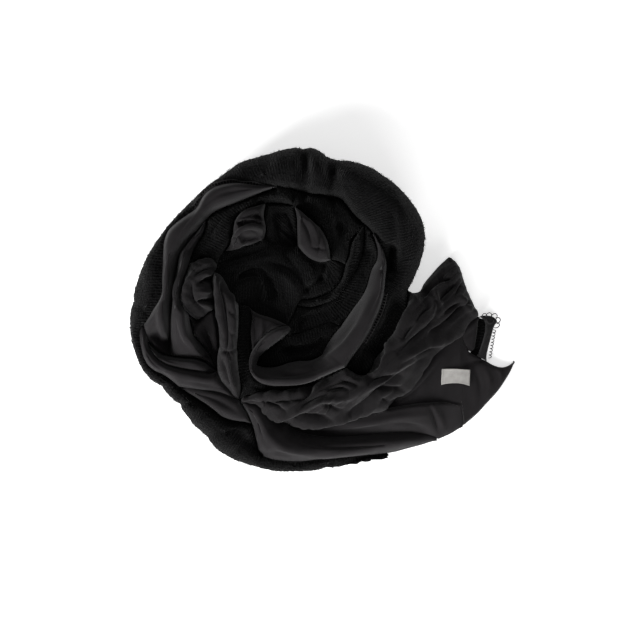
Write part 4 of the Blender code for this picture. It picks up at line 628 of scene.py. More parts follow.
# %% The hidden heap's outline and heights
HEAP_OUTLINE = [
    (407, 290), (410, 277), (416, 262), (419, 246), (419, 230), (412, 213), (397, 195),
    (379, 180), (360, 169), (335, 165), (318, 157), (302, 153), (284, 155), (263, 161),
    (243, 169), (219, 185), (197, 203), (176, 224), (158, 251), (146, 274), (140, 291),
    (136, 312), (136, 330), (139, 345), (145, 361), (155, 376), (172, 391), (189, 409),
    (205, 427), (220, 444), (231, 452), (243, 457), (259, 462), (279, 466), (300, 466),
    (329, 463), (358, 457), (376, 452), (395, 446), (420, 438), (446, 427), (466, 410),
    (482, 392), (488, 378), (472, 368), (462, 350), (458, 325), (460, 300), (454, 279),
    (443, 283.5), (431, 292), (420, 299), (412, 298)]
HEAP_HEIGHTS = [
    (278, 310, 27), (150, 310, 24), (200, 200, 24), (302, 165, 24), (370, 190, 24),
    (410, 235, 24), (200, 420, 24), (240, 452, 24), (300, 455, 22), (345, 455, 14),
    (390, 448, 5), (380, 395, 16), (405, 310, 22), (425, 310, 12), (430, 350, 9),
    (452, 280, 5), (465, 330, 5), (440, 430, 4), (470, 395, 5), (490, 380, 4)]
HEAP_MIDDLE = (372, 350)
HEAP_BLEND = 150.0
HEAP_FALL = 1.5

# %% [markdown]
# ## Curves
#
# Every line here is a smooth curve through a few given places. A cubic curve that takes its
# slope at each place from the two neighbours passes through all of them without the swings
# that a single long polynomial would make.

# %% Smooth curves through places
def plan_rows(rows):
    return np.array(rows, float)


def slopes_at(places, along):
    """The slope at each place of a curve through all of them, from its two neighbours."""
    spans = np.diff(along)[:, None]
    slopes = np.diff(places, axis=0) / spans
    tangents = np.empty_like(places)
    tangents[1:-1] = (slopes[:-1] * spans[1:] + slopes[1:] * spans[:-1]) / (spans[1:] + spans[:-1])
    tangents[0] = 1.5 * slopes[0] - 0.5 * tangents[1]
    tangents[-1] = 1.5 * slopes[-1] - 0.5 * tangents[-2]
    return tangents


def smooth_at(along, values, wanted):
    """Values of a smooth curve through (along, values) at the wanted distances."""
    if len(along) == 2:
        share = ((wanted - along[0]) / (along[1] - along[0]))[:, None]
        return values[0] + (values[1] - values[0]) * share
    tangents = slopes_at(values, along)
    index = np.clip(np.searchsorted(along, wanted, side="right") - 1, 0, len(along) - 2)
    span = (along[index + 1] - along[index])[:, None]
    t = (wanted - along[index])[:, None] / span
    return (
        values[index] * (2 * t**3 - 3 * t**2 + 1)
        + tangents[index] * span * (t**3 - 2 * t**2 + t)
        + values[index + 1] * (3 * t**2 - 2 * t**3)
        + tangents[index + 1] * span * (t**3 - t**2)
    )


def lengths_along(places):
    steps = np.linalg.norm(np.diff(places[:, :2], axis=0), axis=1)
    return np.concatenate([[0.0], np.cumsum(steps)])


def heap_height(places):
    """The hidden heap's height under plan places, a smooth blend of its height table."""
    table = plan_rows(HEAP_HEIGHTS)
    away = np.linalg.norm(places[:, None, :2] - table[None, :, :2], axis=2)
    weights = 1.0 / (away**2 + HEAP_BLEND) ** HEAP_FALL
    return (weights * table[:, 2]).sum(axis=1) / weights.sum(axis=1)


def crease_line(name):
    """A crease as closely spaced rows of x, y, height, and 1 where it is open."""
    start, end, places = CREASES[name.lstrip("-")]
    places = plan_rows(places)
    along = lengths_along(places)
    count = max(2, int(round(along[-1] / CURVE_STEP)))
    wanted = np.linspace(0, along[-1], count + 1)
    line = smooth_at(along, places, wanted)
    if name.lstrip("-") == "coil_outline":
        heights = heap_height(line) + BELLY_RISE
    else:
        heights = start + (end - start) * wanted / along[-1]
    deeper = OPEN_CREASES.get(name.lstrip("-"), 0)
    heights = np.where(heights > LOWEST_OPEN, np.maximum(heights - deeper, LOWEST_OPEN), heights)
    line = np.column_stack([line, heights, np.full(len(line), float(deeper > 0))])
    return line[::-1] if name.startswith("-") else line


def side_line(names):
    """Creases end to end as one line."""
    parts = [crease_line(names[0])]
    for name in names[1:]:
        parts.append(crease_line(name)[1:])
    return np.concatenate(parts)


def turned_left(line):
    """Unit plan directions across a line, a quarter turn from its own direction."""
    ahead = np.gradient(line[:, :2], axis=0)
    ahead /= np.linalg.norm(ahead, axis=1)[:, None]
    return np.column_stack([-ahead[:, 1], ahead[:, 0]])


def inside_turn(left, right):
    """1 where a quarter turn from the left side points into the stretch, otherwise -1."""
    loop = np.concatenate([left[:, :2], right[::-1, :2]])
    following = np.roll(loop, -1, axis=0)
    area = (loop[:, 0] * following[:, 1] - following[:, 0] * loop[:, 1]).sum()
    return 1.0 if area > 0 else -1.0


def nearest_rows(line, places):
    """For each place in turn, how far along the line its nearest row is, never going back."""
    along = lengths_along(line)
    found = []
    first = 0
    for place in places:
        away = np.linalg.norm(line[first:, :2] - place, axis=1)
        first += int(np.argmin(away))
        found.append(along[first])
    return np.array(found)


class Ribbon:
    """A stretch of cloth between two side lines, read at any number of sections."""

    def __init__(self, name):
        cloth, left, right, self.rolls, rows = STRETCHES[name]
        self.name = name
        self.cloth = cloth
        self.left = side_line(left)
        self.right = side_line(right)
        rows = plan_rows(rows)
        left_stops = nearest_rows(self.left, rows[:, 0:2])
        right_stops = nearest_rows(self.right, rows[:, 2:4])
        left_stops[0] = right_stops[0] = 0.0
        left_stops[-1] = lengths_along(self.left)[-1]
        right_stops[-1] = lengths_along(self.right)[-1]
        self.stops = np.concatenate(
            [[0.0], np.cumsum(np.maximum(np.diff(left_stops), np.diff(right_stops)))])
        self.left_stops = left_stops
        self.right_stops = right_stops
        self.heights = rows[:, 4:7]
        turn = inside_turn(self.left, self.right)
        self.left_in = turned_left(self.left) * turn
        self.right_in = turned_left(self.right) * -turn

    def sides(self, along):
        """Both sides at these distances, each moved in by half a seam's gap."""
        found = []
        for line, into, stops in (
            (self.left, self.left_in, self.left_stops),
            (self.right, self.right_in, self.right_stops),
        ):
            lengths = lengths_along(line)
            moved = line.copy()
            moved[:, :2] += into * SEAM_GAP / 2
            wanted = np.interp(along, self.stops, stops)
            found.append(np.column_stack(
                [np.interp(wanted, lengths, moved[:, axis]) for axis in range(4)]))
        return found

    def ends(self):
        """Where the ribbon starts and ends: its tips are cut where they get too narrow."""
        start_gap, end_gap = END_GAPS.get(self.name, (END_GAP, END_GAP))
        along = np.linspace(start_gap, self.stops[-1] - end_gap, TIP_TESTS)
        left, right = self.sides(along)
        across = right[:, :2] - left[:, :2]
        wanted = np.interp(along, self.stops, self.left_stops)
        lengths = lengths_along(self.left)
        into = np.column_stack(
            [np.interp(wanted, lengths, self.left_in[:, axis]) for axis in range(2)])
        wide = (np.linalg.norm(across, axis=1) > NARROWEST) & ((across * into).sum(axis=1) > 0)
        inside = np.flatnonzero(wide)
        return along[inside[0]], along[inside[-1]]

    def sections(self, spacing):
        """Distances of the sections: one at every row of the table and evenly between them."""
        start, end = self.ends()
        inside = self.stops[(self.stops > start + 1) & (self.stops < end - 1)]
        marks = np.concatenate([[start], inside, [end]])
        found = [marks[:1]]
        for here, there in zip(marks[:-1], marks[1:]):
            count = max(1, int(round((there - here) / spacing)))
            found.append(np.linspace(here, there, count + 1)[1:])
        return np.concatenate(found)

# %% [markdown]
# ## Listed folds
#
# The sections give each stretch its roll, but real cloth also dents and ridges along lines of
# its own. Each fold here is a line of places with a half width and a height: a positive height
# is a soft ridge, a negative one a crease that is sharper at its bottom. Pockets are wide, deep
# places that pull the cloth straight down.

# %% Pockets: start x, y, end x, y, half width, height
POCKETS = [
    (303, 160, 304, 192, 6.5, -13.0),
    (331, 172, 332, 198, 5.5, -13.0),
    (391, 250, 389, 270, 5.0, -22.0),
    (395, 205, 405, 262, 3.5, 2.0),
    (267, 283, 271, 294, 6.5, -22.0),
    (242, 279, 262, 275, 4.0, -5.0),
    (282, 218, 289, 240, 9.0, -18.0),
    (368, 258, 350, 300, 9.0, -12.0),
    (340, 312, 304, 324, 8.0, -11.0),
    (290, 352, 322, 344, 9.0, -12.0),
    (399, 308, 374, 354, 8.0, -16.0),
    (206, 332, 212, 352, 6.0, -8.0),
    (246, 240, 258, 237, 4.5, -12.0),
    (240, 224, 262, 224.5, 1.6, -6.0),
    (258, 217, 260, 219, 2.5, -8.0),
    (186, 246, 203, 224, 3.0, -8.0),
    (156, 336, 168, 342, 6.0, -12.0),
    (240, 436, 254, 446, 7.0, -8.0),
    (338, 226, 341, 229, 4.0, -6.0),
    (318, 430, 420, 433, 6.0, -3.0),
    (324, 266, 321, 278, 3.5, -7.0),
    (321, 278, 307, 290, 3.5, -7.0),
]

# %% Folds of each stretch: half width, height, places (x, y)
FOLDS = {
    "boucle_outer_turn": [
        (4.0, -2.6, [(303, 146), (304, 160), (306, 172), (308, 190)]),
        (5.0, 1.6, [(314, 150), (315, 165), (316, 190)]),
        (3.5, -2.2, [(327, 156), (331, 170), (337, 184), (342, 198)]),
        (6.0, 1.6, [(346, 164), (352, 178), (356, 200)]),
        (5.0, 1.8, [(391, 192), (399, 215), (405, 258)]),
        (4.0, -2.0, [(410, 232), (408, 250), (402, 268)]),
        (3.0, -1.6, [(388, 200), (393, 222), (394, 244)]),
        (5.0, -1.8, [(270, 155), (266, 170), (262, 184)]),
        (6.0, 1.5, [(240, 164), (243, 175), (245, 186)]),
        (5.0, -2.0, [(196, 199), (186, 214), (170, 236)]),
        (6.0, 1.6, [(158, 246), (152, 262), (148, 290)]),
        (5.0, -2.2, [(146, 275), (143, 296), (140, 318)]),
        (4.0, -1.8, [(131, 300), (140, 308), (150, 316)]),
        (3.5, -1.8, [(150, 384), (162, 388), (172, 386)]),
        (4.0, -2.2, [(176, 408), (186, 402), (196, 404)]),
        (5.0, 2.0, [(194, 424), (206, 418), (220, 424)]),
        (4.0, -2.6, [(206, 438), (222, 432), (240, 428)]),
        (4.0, -2.0, [(226, 456), (238, 448), (250, 440)]),
        (3.0, -1.4, [(286, 470), (292, 466), (296, 462)]),
        (3.0, -1.4, [(322, 470), (330, 465), (334, 461)]),
    ],
    "boucle_right_turn": [
        (4.0, -2.4, [(398, 292), (392, 306), (386, 318)]),
        (4.0, 1.8, [(388, 300), (382, 314), (374, 330)]),
        (3.5, -2.0, [(396, 322), (388, 334), (380, 346)]),
        (3.0, -1.8, [(372, 340), (366, 352), (358, 364)]),
    ],
    "boucle_left_turn": [
        (4.0, -2.2, [(276, 192), (262, 199), (246, 207)]),
        (4.0, -2.4, [(228, 214), (216, 226), (208, 242)]),
        (4.0, 1.8, [(234, 216), (224, 228), (214, 246)]),
        (3.5, -2.0, [(224, 238), (214, 248), (204, 256)]),
    ],
    "boucle_inner_turn": [
        (4.0, -2.6, [(302, 194), (306, 206), (314, 218)]),
        (5.0, 2.0, [(318, 198), (326, 214), (332, 234)]),
        (4.0, -2.4, [(330, 202), (337, 220), (340, 242)]),
        (4.0, -2.2, [(346, 216), (348, 232), (344, 250)]),
    ],
    "boucle_low_turn": [
        (4.0, -2.0, [(370, 236), (370, 252), (364, 270)]),
        (4.0, -2.2, [(356, 282), (346, 298), (332, 308)]),
        (3.5, 1.5, [(352, 294), (340, 308), (322, 318)]),
        (3.5, -1.8, [(312, 312), (304, 322), (298, 330)]),
    ],
    "boucle_inner_fold": [
        (3.5, -2.0, [(357, 236), (355, 254), (348, 272)]),
        (3.0, -1.6, [(340, 284), (330, 294), (318, 301)]),
    ],
    "boucle_low_fold": [
        (4.0, -2.4, [(272, 356), (286, 350), (300, 346)]),
        (4.0, 1.8, [(284, 346), (300, 341), (316, 338)]),
        (3.5, -2.0, [(304, 354), (316, 346), (328, 334)]),
    ],
    "boucle_centre": [
        (4.0, 2.6, [(240, 286), (248, 281), (258, 282), (262, 292), (262, 302)]),
        (2.2, -4.0, [(239, 279), (246, 273), (254, 270), (262, 272), (266, 278)]),
        (3.0, -4.2, [(221, 263), (232, 260), (246, 255), (260, 250), (276, 243)]),
        (3.5, 2.2, [(226, 268), (240, 264), (256, 260), (272, 256)]),
        (3.0, -3.2, [(268, 262), (282, 266), (296, 276), (304, 288)]),
        (3.5, 2.0, [(274, 272), (286, 278), (294, 290)]),
        (4.0, -2.2, [(282, 250), (292, 262), (300, 276)]),
        (4.5, 2.4, [(284, 270), (294, 284), (296, 300)]),
        (3.5, -2.2, [(280, 284), (286, 296), (288, 312)]),
        (3.5, -2.0, [(254, 296), (262, 304), (274, 310)]),
        (4.0, 1.8, [(308, 264), (312, 274), (306, 284)]),
        (3.5, -1.8, [(330, 268), (330, 278), (322, 288)]),
    ],
    "boucle_pocket": [
        (3.5, -2.0, [(272, 210), (276, 224), (282, 240)]),
        (3.5, 1.6, [(282, 208), (286, 222), (290, 236)]),
    ],
    "seam_strip": [
        (5.5, 4.0, [(246, 306), (245.5, 330), (245, 352), (246, 372), (252, 384)]),
        (1.4, -1.6, [(245, 308), (244.5, 330), (244, 352), (245, 374), (252, 386), (266, 389),
                     (290, 388), (314, 382)]),
    ],
    "crepe_left_turn": [
        (3.0, -1.8, [(252, 190), (236, 192), (220, 197), (208, 206)]),
        (3.5, 1.4, [(258, 188), (240, 188), (224, 192)]),
        (3.0, -1.6, [(196, 214), (184, 230), (174, 250), (170, 276)]),
        (4.0, 1.4, [(190, 226), (178, 244), (172, 262)]),
        (2.6, -1.4, [(166, 262), (168, 290), (166, 316)]),
        (3.0, -1.6, [(156, 318), (158, 334), (164, 348)]),
        (3.0, 1.2, [(164, 300), (162, 322), (163, 340)]),
    ],
    "crepe_left_fold": [
        (3.0, -1.6, [(200, 234), (190, 250), (184, 262)]),
        (3.0, -1.8, [(180, 268), (178, 288), (178, 308)]),
        (3.5, 1.6, [(184, 300), (183, 322), (186, 342)]),
        (2.6, -1.6, [(178, 322), (182, 340), (192, 352)]),
        (2.6, -1.4, [(196, 340), (202, 352), (210, 362)]),
    ],
    "crepe_return": [
        (1.8, -1.0, [(156, 354), (176, 362), (202, 366)]),
    ],
    "crepe_bright_ridge": [
        (2.4, -1.4, [(142, 336), (147, 352), (160, 367), (178, 374)]),
        (3.0, 1.4, [(150, 356), (166, 369), (190, 376), (214, 380)]),
        (2.4, -1.4, [(180, 382), (200, 384), (222, 388)]),
    ],
    "crepe_low_flap": [
        (2.6, -1.4, [(196, 393), (214, 398), (236, 410)]),
        (3.0, 1.2, [(204, 400), (222, 408), (240, 418)]),
    ],
    "crepe_crescent": [
        (2.2, -1.2, [(380, 262), (379, 284), (372, 304), (362, 324), (350, 342)]),
        (4.5, 1.8, [(372, 300), (362, 322), (348, 344), (330, 360)]),
        (3.0, -1.6, [(360, 306), (350, 326), (338, 344), (322, 358)]),
        (4.0, 1.6, [(352, 330), (338, 348), (316, 364), (290, 372)]),
        (2.6, -1.6, [(330, 362), (310, 370), (286, 374), (264, 372)]),
        (3.0, 1.4, [(312, 378), (288, 380), (266, 378)]),
        (2.4, -1.4, [(254, 372), (253, 360), (258, 350), (268, 340)]),
        (3.0, 1.4, [(260, 360), (264, 350), (274, 340), (282, 334)]),
        (2.2, -1.2, [(382, 240), (383, 254), (381, 268)]),
    ],
    "crepe_small_petal": [
        (2.4, -1.4, [(254, 316), (256, 330), (256, 342)]),
        (2.6, 1.2, [(262, 318), (262, 330), (260, 338)]),
    ],
    "crepe_bright_petal": [
        (2.2, -1.6, [(302, 220), (308, 232), (312, 246)]),
        (2.6, 1.6, [(306, 218), (314, 230), (320, 244)]),
        (2.0, -1.4, [(318, 232), (320, 244), (318, 256)]),
        (1.8, -1.4, [(312, 248), (320, 250), (326, 250)]),
    ],
    "crepe_ruffle": [
        (1.8, -2.6, [(234, 235), (239, 227), (247, 223), (256, 222), (263, 225)]),
        (2.4, 1.2, [(236, 222), (243, 216), (252, 211), (262, 210)]),
        (2.2, 1.4, [(232, 246), (237, 236), (245, 229), (256, 227), (264, 231)]),
        (1.4, -2.0, [(233, 249), (240, 239), (249, 233), (258, 233)]),
        (1.6, 1.4, [(232, 250), (240, 246), (246, 241)]),
        (1.2, -1.4, [(242, 219), (249, 217), (255, 214)]),
        (1.4, -1.8, [(252, 218), (256, 217), (260, 219), (259, 222)]),
        (1.4, -1.6, [(234, 236), (238, 242), (236, 248)]),
    ],
    "crepe_tuck": [
        (2.6, -1.6, [(198, 326), (206, 336), (212, 348)]),
        (2.6, 1.4, [(204, 322), (212, 334), (215, 350)]),
    ],
    "crepe_edge_roll": [
        (2.8, -1.6, [(252, 410), (258, 424), (264, 440)]),
        (4.0, 1.6, [(260, 416), (268, 434), (284, 448), (310, 452)]),
        (2.6, -1.6, [(262, 454), (276, 452), (296, 456), (320, 459)]),
        (3.5, -1.6, [(290, 436), (320, 444), (352, 447), (384, 446)]),
        (3.0, 1.4, [(300, 458), (336, 455), (372, 452)]),
    ],
    "crepe_end_fold": [
        (2.8, -1.6, [(300, 430), (324, 433), (350, 431), (376, 426)]),
        (3.5, 1.4, [(340, 430), (368, 424), (396, 418), (424, 416)]),
        (2.2, -1.6, [(430, 406), (436, 420), (440, 434)]),
        (2.4, 1.4, [(434, 406), (441, 420), (446, 432)]),
        (2.4, -1.2, [(396, 424), (414, 426), (430, 432)]),
    ],
    "crepe_end_panel": [
        (2.0, -1.0, [(394, 404), (412, 394), (428, 378), (442, 360)]),
        (5.0, 1.4, [(410, 392), (424, 376), (440, 358)]),
        (3.0, -1.0, [(474, 366), (482, 384), (482, 404)]),
        (3.0, 1.0, [(486, 368), (492, 382), (488, 400)]),
        (2.0, -1.4, [(468, 365), (478, 362), (488, 361), (497, 367)]),
        (2.0, 0.8, [(500, 370), (504, 376), (502, 386)]),
    ],
    "crepe_hem_band": [
        (1.6, -0.8, [(468, 338), (474, 332), (478, 326)]),
    ],
    "smocked_end": [
        (2.3, -5.5, [(441, 301), (444, 294), (450, 289), (458, 284)]),
        (1.6, -3.5, [(440, 281), (446, 279), (452, 278)]),
        (1.6, -3.2, [(446, 312), (454, 307), (463, 302)]),
        (2.3, -5.5, [(446, 324), (452, 319), (460, 311), (470, 303)]),
        (1.5, -3.0, [(417, 319), (423, 312), (431, 307)]),
        (1.5, -3.0, [(423, 298), (427, 292), (432, 287)]),
        (1.8, -3.6, [(403, 338), (407, 331), (413, 325)]),
        (2.0, -4.5, [(372, 373), (378, 364), (383, 356), (387, 351)]),
        (1.6, -3.6, [(371, 379), (381, 377), (394, 372)]),
        (1.8, -3.4, [(376, 391), (388, 389), (401, 388)]),
        (2.4, -3.6, [(383, 400), (388, 403)]),
        (2.2, -5.0, [(299, 408), (308, 402), (316, 397), (326, 394)]),
        (1.8, -3.8, [(329, 389), (338, 387), (347, 388)]),
        (2.6, -5.0, [(288, 420), (300, 417), (316, 417), (332, 419)]),
        (1.8, -3.4, [(275, 401), (282, 399), (290, 400)]),
        (1.8, -4.0, [(292, 398), (304, 396), (311, 388)]),
        (3.4, -3.2, [(428, 337), (436, 330), (446, 324)]),
        (3.0, -5.5, [(350, 413), (362, 406), (374, 396), (386, 385), (400, 375)]),
        (2.6, -3.8, [(388, 403), (398, 398), (410, 393)]),
        (2.6, -3.6, [(398, 352), (410, 342), (424, 331), (434, 320), (440, 308)]),
        (2.2, -3.4, [(414, 356), (424, 350), (438, 345)]),
        (2.4, -3.6, [(322, 388), (340, 380), (356, 384)]),
        (2.2, -3.2, [(248, 401), (262, 400), (274, 404), (286, 411)]),
        (1.6, -2.6, [(398, 312), (404, 303), (412, 299)]),
        (1.6, -2.4, [(434, 287), (440, 280), (446, 270)]),
        (1.8, -2.8, [(455, 296), (462, 288), (466, 280)]),
        (4.5, 3.4, [(478, 318), (465, 328), (440, 341), (415, 351), (400, 359), (388, 371)]),
        (3.4, 2.8, [(442, 348), (428, 358), (418, 371), (406, 387), (394, 399), (380, 411)]),
        (3.2, 3.0, [(416, 300), (406, 318), (396, 334), (388, 350), (376, 371), (361, 381)]),
        (2.8, 2.6, [(241, 398), (262, 395), (288, 395), (300, 392), (318, 379), (344, 372)]),
        (3.2, 3.0, [(246, 404), (262, 409), (272, 415), (290, 414), (302, 407), (320, 400),
                    (344, 397), (364, 384)]),
        (3.2, 2.8, [(290, 424), (318, 423), (345, 417), (370, 409), (386, 403)]),
        (3.2, 2.8, [(352, 398), (366, 388), (382, 380), (398, 366), (412, 360)]),
        (3.0, 2.6, [(436, 318), (440, 306), (436, 292), (444, 284)]),
        (3.0, 2.6, [(462, 296), (466, 304), (474, 312)]),
        (2.8, 2.4, [(424, 324), (432, 312), (432, 300), (426, 300)]),
        (1.6, -2.4, [(322, 402), (331, 407), (342, 409)]),
        (1.6, -2.4, [(332, 399), (331, 407), (327, 414)]),
    ],
    "smocked_turn": [
        (1.8, -4.0, [(223, 284), (226, 302), (228, 322), (229, 340), (227, 352)]),
        (1.6, -2.6, [(231, 352), (234, 366), (236, 384)]),
        (2.0, -2.2, [(222, 356), (226, 370), (231, 388)]),
        (2.4, 1.4, [(218, 296), (221, 320), (224, 340)]),
        (2.4, 1.4, [(231, 296), (234, 316), (234, 340)]),
        (1.2, -1.4, [(216, 298), (218, 308), (222, 316)]),
        (1.2, -1.4, [(220, 318), (222, 330), (225, 338)]),
        (1.2, -1.6, [(230, 306), (233, 314), (237, 318)]),
        (1.2, -1.6, [(231, 330), (235, 337), (238, 349)]),
        (1.4, -1.8, [(219, 344), (224, 351), (232, 352), (237, 349)]),
        (1.4, 1.4, [(226, 286), (230, 294), (235, 304)]),
    ],
    "smocked_bun": [
        (2.0, -5.0, [(201, 284), (207, 281), (214, 280)]),
        (2.0, -5.0, [(199, 303), (206, 301), (214, 300)]),
        (1.8, -3.4, [(193, 284), (194, 296), (199, 307), (206, 311)]),
        (1.8, -3.0, [(196, 276), (204, 270), (213, 269)]),
        (2.2, 1.8, [(211, 263), (197, 272), (189, 286), (187, 300), (193, 311), (203, 315)]),
        (2.4, 1.8, [(199, 292), (206, 293), (213, 291)]),
        (2.0, 1.4, [(202, 276), (208, 275), (213, 274)]),
    ],
}


def nearest_on(line, x, y):
    """How far each place is from a line of places, and how far along the line that is."""
    best = np.full(x.shape, np.inf)
    along_best = np.zeros(x.shape)
    gone = 0.0
    for (x0, y0), (x1, y1) in zip(line[:-1], line[1:]):
        run_x, run_y = x1 - x0, y1 - y0
        length = math.hypot(run_x, run_y)
        share = np.clip(((x - x0) * run_x + (y - y0) * run_y) / length**2, 0, 1)
        away = np.hypot(x - x0 - share * run_x, y - y0 - share * run_y)
        nearer = away < best
        best = np.where(nearer, away, best)
        along_best = np.where(nearer, gone + share * length, along_best)
        gone += length
    return best, along_best / gone


def smooth_line(places, step):
    """A smooth line of places through a few."""
    places = plan_rows(places)
    along = lengths_along(places)
    count = max(2, int(round(along[-1] / step)))
    return smooth_at(along, places, np.linspace(0, along[-1], count + 1))


FOLD_GAIN = {"smocked crepe": 2.2, "crepe": 1.8, "boucle": 1.6, "trim": 1.0}
FOLD_STEP = 4.0
FOLD_END = 0.35
RIDGE_SHARPNESS = 2.0
CREASE_SHARPNESS = 1.4


def folds_at(name, x, y):
    """How far a stretch's folds move its cloth out along its normal, in millimetres."""
    gain = FOLD_GAIN[STRETCHES[name][0]]
    moved = np.zeros_like(x)
    for half_width, height, places in FOLDS.get(name, ()):
        line = [tuple(place) for place in smooth_line(places, FOLD_STEP)]
        away, share = nearest_on(line, x, y)
        fade = FOLD_END + (1 - FOLD_END) * np.sin(math.pi * np.clip(share, 0, 1))
        sharpness = RIDGE_SHARPNESS if height > 0 else CREASE_SHARPNESS
        moved += gain * height * fade * np.exp(-((away / half_width) ** sharpness))
    return moved


def pockets_at(x, y):
    """How far the pockets pull the cloth down."""
    moved = np.zeros_like(x)
    for x0, y0, x1, y1, half_width, height in POCKETS:
        away, _ = nearest_on([(x0, y0), (x1, y1)], x, y)
        moved += height * np.exp(-((away / half_width) ** 2))
    return moved


# %% [markdown]
# ## Smocking
#
# Smocking gathers the cloth with rows of small stitches, so between them it stands up in fine
# wavy ridges that run along the band, pinched at each stitch. The large ridges are listed
# above. A slanted wave whose phase wanders, and whose height fades in and out, adds the
# fine ones between them.

# %% The smocking's fine ridges
RIDGE_LEAN = {"smocked_end": math.radians(-42), "smocked_turn": math.radians(90),
              "smocked_bun": math.radians(20)}
RIDGE_PITCH = 7.5
RIDGE_RISE = {"smocked_end": 2.0, "smocked_turn": 0.9, "smocked_bun": 1.2}
PINCH_LENGTH = 19.0


def fine_ridges(name, x, y):
    """The rise of the smocking's fine ridges, in millimetres."""
    lean = RIDGE_LEAN[name]
    along = x * math.cos(lean) + y * math.sin(lean)
    across = -x * math.sin(lean) + y * math.cos(lean)
    wander = (
        1.5 * np.sin(along / 17.0 + 0.7 * np.sin(across / 11.0))
        + 1.1 * np.sin(along / 9.0 - across / 23.0) + 0.8 * np.sin(across / 14.0 + 1.3))
    phase = 2 * math.pi * across / RIDGE_PITCH + wander
    pinch = 0.55 + 0.45 * np.sin(
        2 * math.pi * along / PINCH_LENGTH + math.pi * np.floor(phase / (2 * math.pi)))
    return RIDGE_RISE[name] * (np.abs(np.sin(phase / 2)) ** 0.7 - 0.5) * (0.45 + 0.55 * pinch)


# %% [markdown]
# ## The cloth as a fine grid
#
# A sheet of cloth is a grid: rows go along the stretch and columns across it. At each side the
# cloth turns down into the crease and goes on below it as a short skirt, so that no edge shows.
# The grid is smooth at first. The folds, and the ridges of the smocking, then move it along
# its own normals, as a hand that pinches or pulls the cloth would.

# %% Across one section
ROLL_STEPS = 5
SKIRT_DROPS = (3.0, 7.0, 12.0)
TABLE_CLEARANCE = 0.5
FOOT_INSET = 9.0
FOOT_CLEARANCE = 0.6
FOOT_TURN = math.radians(80)
FOOT_STEPS = 8
FOOTED = "boucle_outer_turn"


def section_shape(width, rolls, body_steps):
    """Across one section: the share of its width, and the rise from the creases, 0 to 1."""
    scale = min(1.0, 0.86 * width / (rolls[0] + rolls[1]))
    left_roll = rolls[0] * scale
    right_roll = rolls[1] * scale
    turns = np.linspace(0, math.pi / 2, ROLL_STEPS + 1)
    left = left_roll * (1 - np.cos(turns))
    right = width - right_roll * (1 - np.cos(turns))
    body = np.linspace(left_roll, width - right_roll, body_steps + 1)[1:-1]
    away = np.concatenate([left, body, right[::-1]])
    rise = np.concatenate([np.sin(turns), np.ones(len(body)), np.sin(turns)[::-1]])
    return away / width, rise


def foot_rows(left, right, widths):
    """The outer turn's underside, from its foot up to its widest line."""
    into = (right[:, :2] - left[:, :2]) / widths[:, None]
    drop = left[:, 2] - heap_height(left) - FOOT_CLEARANCE
    inset = np.minimum(FOOT_INSET, 0.45 * widths)
    rows = []
    for step in range(FOOT_STEPS):
        turn = FOOT_TURN * (1 - step / FOOT_STEPS)
        row = left.copy()
        row[:, :2] += into * (inset * (1 - math.cos(turn)))[:, None]
        row[:, 2] -= drop * math.sin(turn)
        rows.append(row)
    return rows


def skirt(edge, down):
    """Rows that go on below an edge, never under the table's surface."""
    rows = []
    for drop in SKIRT_DROPS:
        row = edge.copy()
        row[..., 2] = np.maximum(row[..., 2] - drop, np.minimum(row[..., 2], TABLE_CLEARANCE))
        rows.append(row)
    return rows[::-1] if down else rows


# %% [markdown]
# Where two stretches meet, the higher one rolls down into the crease and the lower one runs on
# under it. So each side compares its own height with the nearest side of another stretch.

# %% Which side of a crease rolls down
ROLL_RANGE = 4.0
NEAR_SIDE = 3.5
SIDE_STEP = 3.0
UNDERLAP = 1.3
FAR_BELOW = -100.0
SMOOTHING = np.ones(5) / 5


def side_heights():
    """Places along every stretch's sides: x, y, the cloth's height there, the stretch's number."""
    found = []
    for number, name in enumerate(STRETCHES):
        ribbon = Ribbon(name)
        along = ribbon.sections(SIDE_STEP)
        heights = smooth_at(ribbon.stops, ribbon.heights, along)
        for line, column in zip(ribbon.sides(along), (0, 2)):
            found.append(np.column_stack(
                [line[:, :2], heights[:, column], np.full(len(line), number)]))
    return np.concatenate(found)


SIDE_HEIGHTS = side_heights()


def roll_shares(name, line, heights):
    """How fully each place of a side rolls down: 0 where the cloth beside it is higher."""
    number = list(STRETCHES).index(name)
    others = SIDE_HEIGHTS[SIDE_HEIGHTS[:, 3] != number]
    away = np.linalg.norm(line[:, None, :2] - others[None, :, :2], axis=2)
    beside = np.where(
        away.min(axis=1) < NEAR_SIDE, others[np.argmin(away, axis=1), 2], FAR_BELOW)
    share = np.clip((heights - beside + ROLL_RANGE) / (2 * ROLL_RANGE), 0, 1)
    padded = np.pad(share, 2, mode="edge")
    share = np.convolve(padded, SMOOTHING, mode="valid")
    return np.maximum(share**2 * (3 - 2 * share), line[:, 3])


# %% The grid of one stretch
def unit_normals(grid):
    """Unit normals of a grid of points, on its upper side."""
    normals = np.cross(np.gradient(grid, axis=0), np.gradient(grid, axis=1))
    normals /= np.maximum(np.linalg.norm(normals, axis=2), 1e-9)[..., None]
    middle = normals[normals.shape[0] // 2, normals.shape[1] // 2]
    return normals if middle[2] > 0 else -normals


